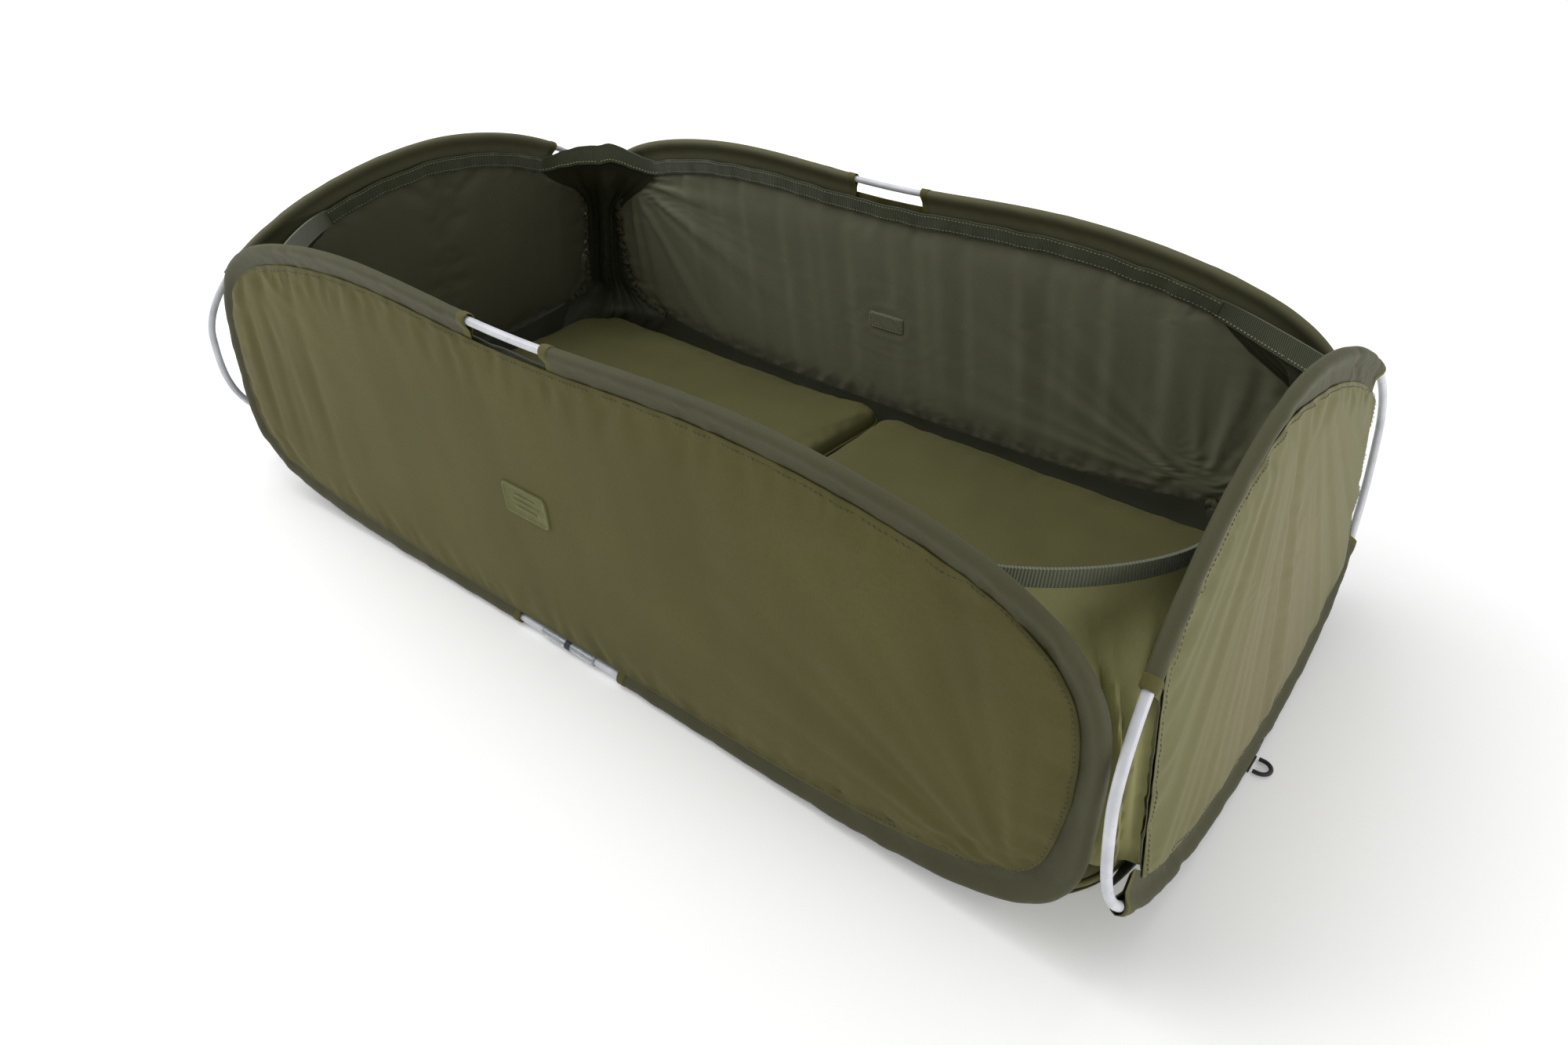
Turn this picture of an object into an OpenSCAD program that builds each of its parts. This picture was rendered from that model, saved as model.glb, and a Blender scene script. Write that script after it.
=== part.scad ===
// Pop-up cradle: a padded, soft-walled tub held open by four sprung hoops.
// X runs along the cradle (head end at -X, foot end at +X), Y across it, Z up from the ground.
// A wall is drawn flat, with u along it and v up it, and then bent into place by wall_pt().

/* [Long walls] */
// Half the length of a long hoop, to the middle of its tube
long_half = 540; // [500:1:545]
// Height of a long hoop between tube middles
long_height = 347; // [320:1:350]
// Distance from the middle of the cradle to a long hoop
long_out = 307; // [305:1:314]
// Share of a long hoop's height that lies below its widest line
long_mid = 0.45; // [0.4:0.01:0.65]
// Squareness of a long hoop's upper half, 2 being an ellipse
long_square_top = 3.3; // [2.2:0.1:4]
// Squareness of a long hoop's lower half, 2 being an ellipse
long_square_low = 4; // [2.5:0.1:5]
// Rise of the two shoulders above the hand grip of a long hoop
long_hump = 5; // [0:1:8]

/* [End walls] */
// Half the width of an end hoop, to the middle of its tube
end_half = 327; // [318:1:330]
// Height of an end hoop between tube middles
end_height = 344; // [320:1:348]
// Distance from the middle of the cradle to an end hoop
end_out = 588; // [586:1:596]
// Share of an end hoop's height that lies below its widest line
end_mid = 0.49; // [0.45:0.01:0.55]
// Squareness of an end hoop's upper half, 2 being an ellipse
end_square_top = 1.8; // [1.7:0.1:2.2]
// Squareness of an end hoop's lower half, 2 being an ellipse
end_square_low = 3; // [2.2:0.1:3.4]
// Half width of the padded cloth in an end wall, which folds in between the long walls
end_cloth_half = 262; // [240:1:264]

/* [Hoops] */
// Outside diameter of the tube around the spring wire
tube_d = 8; // [7:0.5:8]
// Diameter of the spring wire
wire_d = 3.6; // [2.5:0.1:4]
// Outside diameter of the joiner where a hoop's ends meet
ferrule_d = 11.2; // [10:0.2:12]
// Length of that joiner
ferrule_length = 76; // [50:1:90]

/* [Soft goods] */
// Depth of the sleeve cloth, from the tube to the seam with the wall
sleeve_depth = 24; // [20:1:26]
// Thickness of the foam in a wall
foam_thickness = 8; // [5:0.5:8]
// Width of the rim webbing
webbing_width = 20; // [15:1:25]
// Length of the bare stretch at the middle of a long hoop's top, for a hand
grip_length = 112; // [90:1:130]
// Length of the bare stretch at the middle of a long hoop's bottom
low_gap_length = 160; // [120:1:180]

/* [Floor] */
// Half the length of the mat
mat_half_length = 556; // [540:1:558]
// Half the width of the mat
mat_half_width = 278; // [260:1:280]
// Thickness of the mat
mat_thickness = 42; // [30:1:43]
// Thickness of the ground sheet
sheet_thickness = 2.4; // [1:0.1:3]
// Length of a peg loop beyond the end wall
peg_loop_length = 15; // [13:1:20]

/* [Hidden] */
NEAR = 0;
FAR = 1;
HEAD = 2;
FOOT = 3;
// How each wall stands: near, far, head, foot
LEAN = [1.1, -6.5, -4.5, -5.6];
BOW_TOP = [12, -17, -14, -5];
BOW_LOW = [-10, -7, 6, 5];
SHIFT = [16, 0, 12, 6];
BASE_Z = [8, 8, 11, 11];

STEP = 7.5;
EPS = 0.5;
STRIP = 10;
SLEEVE_R = 6.6;
BORE_R = 5.2;
CLOTH_INSET = sleeve_depth + 2;
OUTER_FACE = 5.6;
CLOTH = 0.9;
WEB_INSET = 20;
WEB_FACE = 7;
WEB_THICK = 1.7;

olive = [0.36, 0.35, 0.17];
sage = [0.50, 0.50, 0.38];
liner_grey = [0.27, 0.27, 0.21];
sleeve_grey = [0.31, 0.31, 0.25];
band_olive = [0.42, 0.41, 0.20];
web_green = [0.27, 0.29, 0.20];
mat_olive = [0.33, 0.32, 0.17];
foam_white = [0.86, 0.85, 0.80];
tube_white = [0.88, 0.89, 0.91];
steel = [0.50, 0.52, 0.56];

// ---- Shape of a wall ----
function is_long(w) = w < HEAD;
function side(w) = w == NEAR || w == HEAD ? -1 : 1;
function half(w) = is_long(w) ? long_half : end_half;
function height(w) = is_long(w) ? long_height : end_height;
function mid(w) = is_long(w) ? long_mid : end_mid;
function out_of(w) = is_long(w) ? long_out : end_out;
function turned(w) = w == FAR || w == HEAD;

// Place in the cradle of a point u along a wall, v up it and d outward from its middle
function wall_pt(w, u, v, d) =
    let (
        rel = u / half(w),
        q = v / height(w),
        bow = BOW_TOP[w] * q + BOW_LOW[w] * (1 - q),
        out = out_of(w) + v * sin(LEAN[w]) + bow * (1.5 * (1 - rel * rel) - 0.5) + d,
        along = u + SHIFT[w],
        z = v * cos(LEAN[w]) + BASE_Z[w]
    )
    is_long(w) ? [along, side(w) * out, z] : [side(w) * out, along, z];

// Hoop centre line at an angle around it, from the +u side towards the top
function hoop_uv(w, a) =
    let (
        low = sin(a) < 0,
        n_top = is_long(w) ? long_square_top : end_square_top,
        n_low = is_long(w) ? long_square_low : end_square_low,
        n = low ? n_low : n_top,
        r = pow(pow(abs(cos(a)), n) + pow(abs(sin(a)), n), -1 / n),
        cu = r * cos(a),
        sv = r * sin(a),
        reach = height(w) * (low ? mid(w) : 1 - mid(w)),
        hump = is_long(w) ? -long_hump * max(sv, 0) * cos(360 * cu) * (1 - cu * cu) : 0
    )
    [half(w) * cu, height(w) * mid(w) + sv * reach + hump];

function unit(v) = v / norm(v);
function run(w, a) = hoop_uv(w, a + EPS) - hoop_uv(w, a - EPS);
function inward(w, a) = let (t = unit(run(w, a))) [-t[1], t[0]];
// Millimetres of hoop in one degree
function pace(w, a) = norm(run(w, a)) / (2 * EPS);

// A cross-section of [inward, outward] points set at one angle of the hoop
function ring(w, a, section) =
    let (c = hoop_uv(w, a), n = inward(w, a))
    [for (s = section) wall_pt(w, c[0] + n[0] * s[0], c[1] + n[1] * s[0], s[1])];

function circle_section(r, n) = [for (i = [0:n - 1]) r * [cos(180 + i * 360 / n), sin(180 + i * 360 / n)]];

// Angles from a to b, with every whole step between them
function sweep(a, b) = concat(
    [a],
    [for (k = [ceil(a / STEP + 0.05):floor(b / STEP - 0.05)]) k * STEP],
    [b]
);

function face(a, b, c, back) = back ? [a, c, b] : [a, b, c];
function quad(a, b, c, d, back) = [face(a, b, c, back), face(a, c, d, back)];
function joined(lists) = [for (l = lists) each l];

// Sides of a tube of points: rings of n points, with the first ring's first point at index from.
// The two halves of a ring split their quads on facing diagonals, so that a thin warped bar stays whole.
function tube_faces(rings, n, from, back) = joined([
    for (k = [0:rings - 2], j = [0:n - 1])
        let (a = from + k * n, i = (j + 1) % n)
        j < n / 2 ? quad(a + j, a + n + j, a + n + i, a + i, back) : quad(a + n + j, a + n + i, a + i, a + j, back)
]);

// Solid bar through a list of rings, each with an even count of points in two facing rows
module bar(rings, back) {
    n = len(rings[0]);
    last = (len(rings) - 1) * n;
    caps = joined([
        for (j = [0:n / 2 - 2])
            concat(
                quad(j, j + 1, n - 2 - j, n - 1 - j, back),
                quad(last + j + 1, last + j, last + n - 1 - j, last + n - 2 - j, back)
            )
    ]);
    polyhedron(joined(rings), concat(tube_faces(len(rings), n, 0, back), caps));
}

// Hollow bar through two lists of rings with equal counts
module pipe(outer, inner, back) {
    n = len(outer[0]);
    total = len(outer) * n;
    last = total - n;
    ends = joined([
        for (j = [0:n - 1])
            let (i = (j + 1) % n)
            concat(
                quad(j, i, total + i, total + j, back),
                quad(last + i, last + j, total + last + j, total + last + i, back)
            )
    ]);
    polyhedron(
        joined(concat(outer, inner)),
        concat(tube_faces(len(outer), n, 0, back), tube_faces(len(outer), n, total, !back), ends)
    );
}

// ---- Hoops ----
module hoop_tube(w) {
    cut = 2 / pace(w, 270);
    angles = sweep(-90 + cut, 270 - cut);
    color(tube_white)
        pipe(
            [for (a = angles) ring(w, a, circle_section(tube_d / 2, 8))],
            [for (a = angles) ring(w, a, circle_section(tube_d / 2 - 1.4, 8))],
            turned(w)
        );
}

module hoop_wire(w) {
    cut = 0.4 / pace(w, 270);
    color(steel)
        bar([for (a = sweep(-90 + cut, 270 - cut)) ring(w, a, circle_section(wire_d / 2, 6))], turned(w));
}

module ferrule(w) {
    place = wall_pt(w, 0, hoop_uv(w, 270)[1], 0);
    color([0.80, 0.83, 0.84])
        translate(place)
            rotate(is_long(w) ? [0, 90, 0] : [90, 0, 0])
                difference() {
                    cylinder(h = ferrule_length, d = ferrule_d, center = true, $fn = 32);
                    cylinder(h = ferrule_length + 2, d = tube_d + 0.8, center = true, $fn = 32);
                }
}

// ---- Sleeves and their end bands ----
SLEEVE_OUT = [[-SLEEVE_R, 0], [-3.2, -5.8], [7, -4.7], [sleeve_depth, 0], [7, 4.7], [-3.2, 5.8]];
BAND_OUT = [[-SLEEVE_R - 0.6, 0], [-3.6, -6.5], [7, -5.2], [sleeve_depth + 1, 0], [7, 5.2], [-3.6, 6.5]];
SLEEVE_BORE = circle_section(BORE_R, 6);

// Angles at which the sleeves of a wall begin and end: [first start, first end, second start, second end]
function long_gap(w, length, a) = length / 2 / pace(w, a);
SIDE_ENDS = [[-37.5, 52.5, 154, 217.5], [-37.5, 37.5, 152, 217.5]];
function sleeve_ends(w) = is_long(w)
    ? [
        -90 + long_gap(w, low_gap_length, 270), 90 - long_gap(w, grip_length, 90),
        90 + long_gap(w, grip_length, 90), 270 - long_gap(w, low_gap_length, 270)
    ]
    : [SIDE_ENDS[w - HEAD][1], SIDE_ENDS[w - HEAD][2], SIDE_ENDS[w - HEAD][3], 360 + SIDE_ENDS[w - HEAD][0]];

module sleeve(w, which) {
    ends = sleeve_ends(w);
    angles = sweep(ends[2 * which], ends[2 * which + 1]);
    color(sleeve_grey)
        pipe(
            [for (a = angles) ring(w, a, SLEEVE_OUT)],
            [for (a = angles) ring(w, a, SLEEVE_BORE)],
            turned(w)
        );
}

module sleeve_bands(w) {
    ends = sleeve_ends(w);
    color(band_olive)
        for (i = [0:3]) {
            away = (i % 2 == 0 ? -1 : 1) / pace(w, ends[i]);
            from = ends[i] + 0.3 * away;
            to = ends[i] + STRIP * away;
            angles = from < to ? [from, to] : [to, from];
            pipe(
                [for (a = angles) ring(w, a, BAND_OUT)],
                [for (a = angles) ring(w, a, SLEEVE_BORE)],
                turned(w)
            );
        }
}

// ---- Cloth, foam and liner of a wall ----
// Edge of the cloth inside the hoop, drawn in clear of the end hoop's bare sides
function cloth_uv(w, a, extra = 0) =
    let (
        c = hoop_uv(w, a) + (CLOTH_INSET + extra) * inward(w, a),
        reach = is_long(w) ? long_half : end_cloth_half
    )
    [max(-reach, min(reach, c[0])), c[1]];

// Sheet between outward distances d0 and d1, in rings about the wall's middle, drawn in by extra
module sheet(w, d0, d1, extra = 0) {
    steps = 40;
    middle = [0, height(w) * mid(w)];
    shares = [0.55, 1];
    function spot(share, k) = middle + share * (cloth_uv(w, k * 360 / steps, extra) - middle);
    function layer(d) = concat(
        [wall_pt(w, middle[0], middle[1], d)],
        [for (s = shares, k = [0:steps - 1]) let (p = spot(s, k)) wall_pt(w, p[0], p[1], d)]
    );
    count = 1 + len(shares) * steps;
    back = !turned(w);
    edge = 1 + steps;
    faces = joined([
        for (k = [0:steps - 1])
            let (m = (k + 1) % steps)
            concat(
                [face(0, 1 + k, 1 + m, !back), face(count, count + 1 + k, count + 1 + m, back)],
                quad(1 + k, edge + k, edge + m, 1 + m, !back),
                quad(count + 1 + k, count + edge + k, count + edge + m, count + 1 + m, back),
                quad(edge + k, count + edge + k, count + edge + m, edge + m, !back)
            )
    ]);
    polyhedron(concat(layer(d0), layer(d1)), faces);
}

module outer_cloth(w) {
    color(is_long(w) ? olive : sage) sheet(w, OUTER_FACE - CLOTH, OUTER_FACE);
}

module liner(w) {
    color(liner_grey) sheet(w, -OUTER_FACE, CLOTH - OUTER_FACE);
}

// A long wall holds one piece of foam, an end wall two that part at its middle seam
module foam(w) {
    color(foam_white)
        if (is_long(w)) sheet(w, -foam_thickness / 2, foam_thickness / 2, 6);
        else for (s = [-1, 1]) foam_half(w, s);
}

module foam_half(w, s) {
    slim = foam_thickness / 2 - 1;
    from = 6;
    to = end_cloth_half - 8;
    columns = 8;
    function top(u) = let (h = height(w) * (1 - mid(w)))
        height(w) * mid(w) + h * pow(1 - pow(u / end_half, end_square_top), 1 / end_square_top) - 34;
    function low(u) = let (h = height(w) * mid(w))
        h - h * pow(1 - pow(u / end_half, end_square_low), 1 / end_square_low) + 32;
    function slice(u) = [
        for (d = [-slim, slim], v = [low(u), top(u)])
            wall_pt(w, s * u, d < 0 ? v : low(u) + top(u) - v, d)
    ];
    bar([for (i = [0:columns]) slice(from + (to - from) * i / columns)], (s > 0) == turned(w));
}

// Webbing along the inside of the rim, below the sleeve
module rim_webbing(w) {
    section = [
        [WEB_INSET, -WEB_FACE], [WEB_INSET + webbing_width, -WEB_FACE],
        [WEB_INSET + webbing_width, -WEB_FACE - WEB_THICK], [WEB_INSET, -WEB_FACE - WEB_THICK]
    ];
    from = is_long(w) ? 48 : 56;
    color(web_green) bar([for (a = sweep(from, 180 - from)) ring(w, a, section)], !turned(w));
}

// ---- Corners ----
CORNER_LONG = [-48, 50];
CORNER_END = [-52, 57];
CORNER_FACE = -10.5;

// Point a share s up the inner face of wall w where a corner's cloth is sewn, on the wall's +u or -u side
function corner_pt(w, plus, s, d) =
    let (
        span = is_long(w) ? CORNER_LONG : CORNER_END,
        a = span[0] + (span[1] - span[0]) * s,
        c = cloth_uv(w, plus ? a : 180 - a)
    )
    wall_pt(w, c[0], c[1], d);

// Upright strip of four-cornered slices between a long and an end wall
module corner_sheet(l, e, shares, thick, drop) {
    function slice(s) =
        let (
            p = corner_pt(l, side(e) > 0, s, CORNER_FACE),
            q = corner_pt(e, side(l) > 0, s, CORNER_FACE),
            n = unit([q[1] - p[1], p[0] - q[0], 0]) * thick / 2,
            m = (p + q) / 2 - [0, 0, 3 + drop * s]
        )
        [p - n, m - n, q - n, q + n, m + n, p + n];
    bar([for (s = shares) slice(s)], true);
}

module gusset(l, e) {
    color(olive) corner_sheet(l, e, [for (k = [0:8]) k / 9], 1.6, 5);
}

module corner_strap(l, e) {
    color(web_green) corner_sheet(l, e, [0.91, 0.955, 1], 2, 5);
}

// ---- Floor and mat ----
module rounded_plate(x0, x1, half_y, r, z0, z1) {
    translate([0, 0, z0])
        linear_extrude(z1 - z0)
            union() {
                translate([x0 + r, -half_y]) square([x1 - x0 - 2 * r, 2 * half_y]);
                translate([x0, r - half_y]) square([x1 - x0, 2 * (half_y - r)]);
                for (x = [x0 + r, x1 - r], y = [r - half_y, half_y - r])
                    translate([x, y]) circle(r, $fn = 48);
            }
}

// The ground sheet, with a tab under each end wall that a peg loop is sewn to
PEG_X = 602;
PEG_Y = -16;
TAB_WIDTH = 26;
module floor_panel() {
    color(olive) {
        rounded_plate(-555, 555, 286, 70, 0, sheet_thickness);
        translate([-PEG_X + 2.4, PEG_Y - TAB_WIDTH / 2, 0])
            cube([2 * PEG_X - 4.8, TAB_WIDTH, sheet_thickness]);
    }
}

MAT_Z = sheet_thickness + 0.6;
MAT_SKIN = 1.5;
MAT_GAP = 3;

// One half of the mat in its own frame, from x = MAT_GAP / 2 outward, closed except for a zip slit
module mat_cover() {
    z1 = MAT_Z + mat_thickness;
    x0 = MAT_GAP / 2;
    color(mat_olive)
        difference() {
            mat_block(x0, mat_half_length, mat_half_width, MAT_Z, z1, 0);
            mat_block(x0, mat_half_length, mat_half_width, MAT_Z, z1, MAT_SKIN);
            translate([x0 - 1, -150, MAT_Z + mat_thickness / 2 - 1.5]) cube([MAT_SKIN + 2, 300, 3]);
        }
}

// Plan of a mat half: square at the fold, rounded at the far corners
module mat_block(x0, x1, half_y, z0, z1, cut) {
    r = 80 - cut;
    far_x = x1 - cut - r;
    far_y = half_y - cut - r;
    translate([0, 0, z0 + cut])
        linear_extrude(z1 - z0 - 2 * cut)
            union() {
                translate([x0 + cut, -half_y + cut]) square([far_x - x0 - cut, 2 * (half_y - cut)]);
                translate([far_x - 1, -far_y]) square([r + 1, 2 * far_y]);
                for (y = [-far_y, far_y]) translate([far_x, y]) circle(r, $fn = 64);
            }
}

module mat_foam() {
    color(foam_white)
        mat_block(
            MAT_GAP / 2, mat_half_length, mat_half_width,
            MAT_Z, MAT_Z + mat_thickness, MAT_SKIN + 0.4
        );
}

// Shock cord loop lying on the ground outside an end wall's sleeve, drawn pointing along +X
CORD_R = 2;
module peg_loop() {
    bend = 9;
    leg = peg_loop_length - bend - CORD_R;
    color([0.10, 0.10, 0.11])
        translate([PEG_X, PEG_Y, CORD_R + 0.1]) {
            for (y = [-bend, bend])
                translate([0, y, 0]) rotate([0, 90, 0]) cylinder(h = leg, r = CORD_R, $fn = 24);
            translate([leg, 0, 0])
                rotate([0, 0, -90])
                    rotate_extrude(angle = 180, $fn = 48) translate([bend, 0]) circle(CORD_R, $fn = 24);
        }
}

// ---- Patches ----
module raised_patch(w, u, v, width, tall) {
    below = wall_pt(w, u, v - 10, OUTER_FACE);
    above = wall_pt(w, u, v + 10, OUTER_FACE);
    tilt = atan2(side(w) * (above[1] - below[1]), above[2] - below[2]);
    color([0.33, 0.34, 0.14])
        translate(wall_pt(w, u, v, OUTER_FACE + 0.7))
            rotate([0, 0, w == NEAR ? 0 : 180])
                rotate([90 + tilt, 0, 0])
                    difference() {
                        patch_plate(width, tall, 5, 2.6);
                        translate([0, 0, 1.6]) patch_plate(width - 5, tall - 5, 3, 2);
                    }
}

module patch_plate(width, tall, r, thick) {
    linear_extrude(thick)
        union() {
            square([width - 2 * r, tall], center = true);
            square([width, tall - 2 * r], center = true);
            for (x = [-1, 1], y = [-1, 1])
                translate([x * (width / 2 - r), y * (tall / 2 - r)]) circle(r, $fn = 32);
        }
}

floor_panel();
mat_cover();  // mat_foot_cover
mat_foam();  // mat_foot_foam
mirror([1, 0, 0]) mat_cover();  // mat_head_cover
mirror([1, 0, 0]) mat_foam();  // mat_head_foam
mirror([1, 0, 0]) peg_loop();  // peg_loop_head
peg_loop();  // peg_loop_foot
gusset(NEAR, HEAD);  // gusset_near_head
gusset(NEAR, FOOT);  // gusset_near_foot
gusset(FAR, HEAD);  // gusset_far_head
gusset(FAR, FOOT);  // gusset_far_foot
corner_strap(NEAR, HEAD);  // strap_near_head
corner_strap(NEAR, FOOT);  // strap_near_foot
corner_strap(FAR, HEAD);  // strap_far_head
corner_strap(FAR, FOOT);  // strap_far_foot
hoop_tube(NEAR);  // near_hoop_tube
hoop_wire(NEAR);  // near_hoop_wire
ferrule(NEAR);  // near_ferrule
sleeve(NEAR, 1);  // near_sleeve_head
sleeve(NEAR, 0);  // near_sleeve_foot
sleeve_bands(NEAR);  // near_sleeve_bands
outer_cloth(NEAR);  // near_outer_cloth
foam(NEAR);  // near_foam
liner(NEAR);  // near_liner
rim_webbing(NEAR);  // near_rim_webbing
hoop_tube(FAR);  // far_hoop_tube
hoop_wire(FAR);  // far_hoop_wire
ferrule(FAR);  // far_ferrule
sleeve(FAR, 1);  // far_sleeve_head
sleeve(FAR, 0);  // far_sleeve_foot
sleeve_bands(FAR);  // far_sleeve_bands
outer_cloth(FAR);  // far_outer_cloth
foam(FAR);  // far_foam
liner(FAR);  // far_liner
rim_webbing(FAR);  // far_rim_webbing
hoop_tube(HEAD);  // head_hoop_tube
hoop_wire(HEAD);  // head_hoop_wire
ferrule(HEAD);  // head_ferrule
sleeve(HEAD, 0);  // head_sleeve_top
sleeve(HEAD, 1);  // head_sleeve_low
sleeve_bands(HEAD);  // head_sleeve_bands
outer_cloth(HEAD);  // head_outer_cloth
foam(HEAD);  // head_foam
liner(HEAD);  // head_liner
rim_webbing(HEAD);  // head_rim_webbing
hoop_tube(FOOT);  // foot_hoop_tube
hoop_wire(FOOT);  // foot_hoop_wire
ferrule(FOOT);  // foot_ferrule
sleeve(FOOT, 0);  // foot_sleeve_top
sleeve(FOOT, 1);  // foot_sleeve_low
sleeve_bands(FOOT);  // foot_sleeve_bands
outer_cloth(FOOT);  // foot_outer_cloth
foam(FOOT);  // foot_foam
liner(FOOT);  // foot_liner
rim_webbing(FOOT);  // foot_rim_webbing
raised_patch(NEAR, -13, 171, 60, 34);  // near_patch
raised_patch(FAR, -4, 160, 55, 26);  // far_patch
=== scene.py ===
import math

import bmesh
import bpy
import numpy as np
from mathutils import Matrix, Vector


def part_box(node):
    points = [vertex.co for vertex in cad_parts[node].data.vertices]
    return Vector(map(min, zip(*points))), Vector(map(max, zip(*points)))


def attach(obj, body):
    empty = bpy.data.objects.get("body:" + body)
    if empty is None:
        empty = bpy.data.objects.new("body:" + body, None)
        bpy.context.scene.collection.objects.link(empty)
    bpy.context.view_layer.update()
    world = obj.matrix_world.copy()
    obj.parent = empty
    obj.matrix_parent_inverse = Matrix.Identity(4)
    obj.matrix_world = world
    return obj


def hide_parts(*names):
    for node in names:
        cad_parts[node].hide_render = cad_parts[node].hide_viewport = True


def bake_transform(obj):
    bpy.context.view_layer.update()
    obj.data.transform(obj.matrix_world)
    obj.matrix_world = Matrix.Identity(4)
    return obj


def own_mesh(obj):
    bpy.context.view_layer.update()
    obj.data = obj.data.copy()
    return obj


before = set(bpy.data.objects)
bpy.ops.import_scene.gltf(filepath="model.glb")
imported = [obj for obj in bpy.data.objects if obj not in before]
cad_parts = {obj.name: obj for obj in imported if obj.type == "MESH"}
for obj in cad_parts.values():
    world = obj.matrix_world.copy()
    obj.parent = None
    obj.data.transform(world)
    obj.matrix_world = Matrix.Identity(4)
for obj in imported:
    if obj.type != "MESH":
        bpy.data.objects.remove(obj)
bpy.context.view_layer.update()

# The looks of a pop-up padded cradle. Metres, +Z up, in the CAD frame: X runs along the cradle,
# Y across it. A wall is drawn flat, u along it and v up it, and Wall.place() bends it into place.

TAU = 2 * math.pi
MM = 0.001

# ---- Sizes ----
TUBE_R = 4 * MM
TUBE_BORE = 2.6 * MM
WIRE_R = 1.8 * MM
JOINER_R = 5.6 * MM
JOINER_LENGTH = 76 * MM
SLEEVE_R = 6.2 * MM
SLEEVE_TAIL = 27 * MM
BAND_LENGTH = 10 * MM
PANEL_INSET = 25.5 * MM
PAD_HALF = 3.4 * MM
PAD_SWELL = 3.0 * MM
CLOTH = 0.9 * MM
TAPE_INSET = 20 * MM
TAPE_WIDTH = 20 * MM
TAPE_FACE = 8.2 * MM
GRIP_LENGTH = 112 * MM
LOW_GAP_LENGTH = 160 * MM
END_CLOTH_HALF = 262 * MM
STITCH = 3.0 * MM
STITCH_PITCH = 4.6 * MM
THREAD_R = 0.32 * MM


# ---- Small maths ----
def wander(x, pitch, seed):
    """A smooth, seeded, wandering wave of about that pitch, within about -1 to 1."""
    rng = np.random.default_rng(seed)
    total = np.zeros_like(np.asarray(x, float))
    for octave, weight in ((0.55, 0.8), (1.0, 1.0), (1.7, 0.6), (2.9, 0.3)):
        stretch = octave * rng.uniform(0.85, 1.15)
        total = total + weight * np.sin(TAU * x / pitch * stretch + rng.uniform(0, TAU))
    return total / 1.9


def smooth(x, low, high):
    """0 below low, 1 above high and an even ramp between them."""
    t = np.clip((x - low) / (high - low), 0, 1)
    return t * t * (3 - 2 * t)


def folds(x, pitch, seed, sharp=0.6):
    """Cloth folds across x: broad round backs and narrower valleys."""
    wave = wander(x, pitch, seed)
    return np.sign(wave) * np.abs(wave) ** (1 + sharp * (wave < 0))


def unit(v):
    return v / np.maximum(np.linalg.norm(v, axis=-1, keepdims=True), 1e-12)


def srgb(r, g, b):
    """Linear colour of a 0 to 255 screen colour."""
    values = [c / 255 for c in (r, g, b)]
    return [c / 12.92 if c < 0.04045 else ((c + 0.055) / 1.055) ** 2.4 for c in values]


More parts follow.
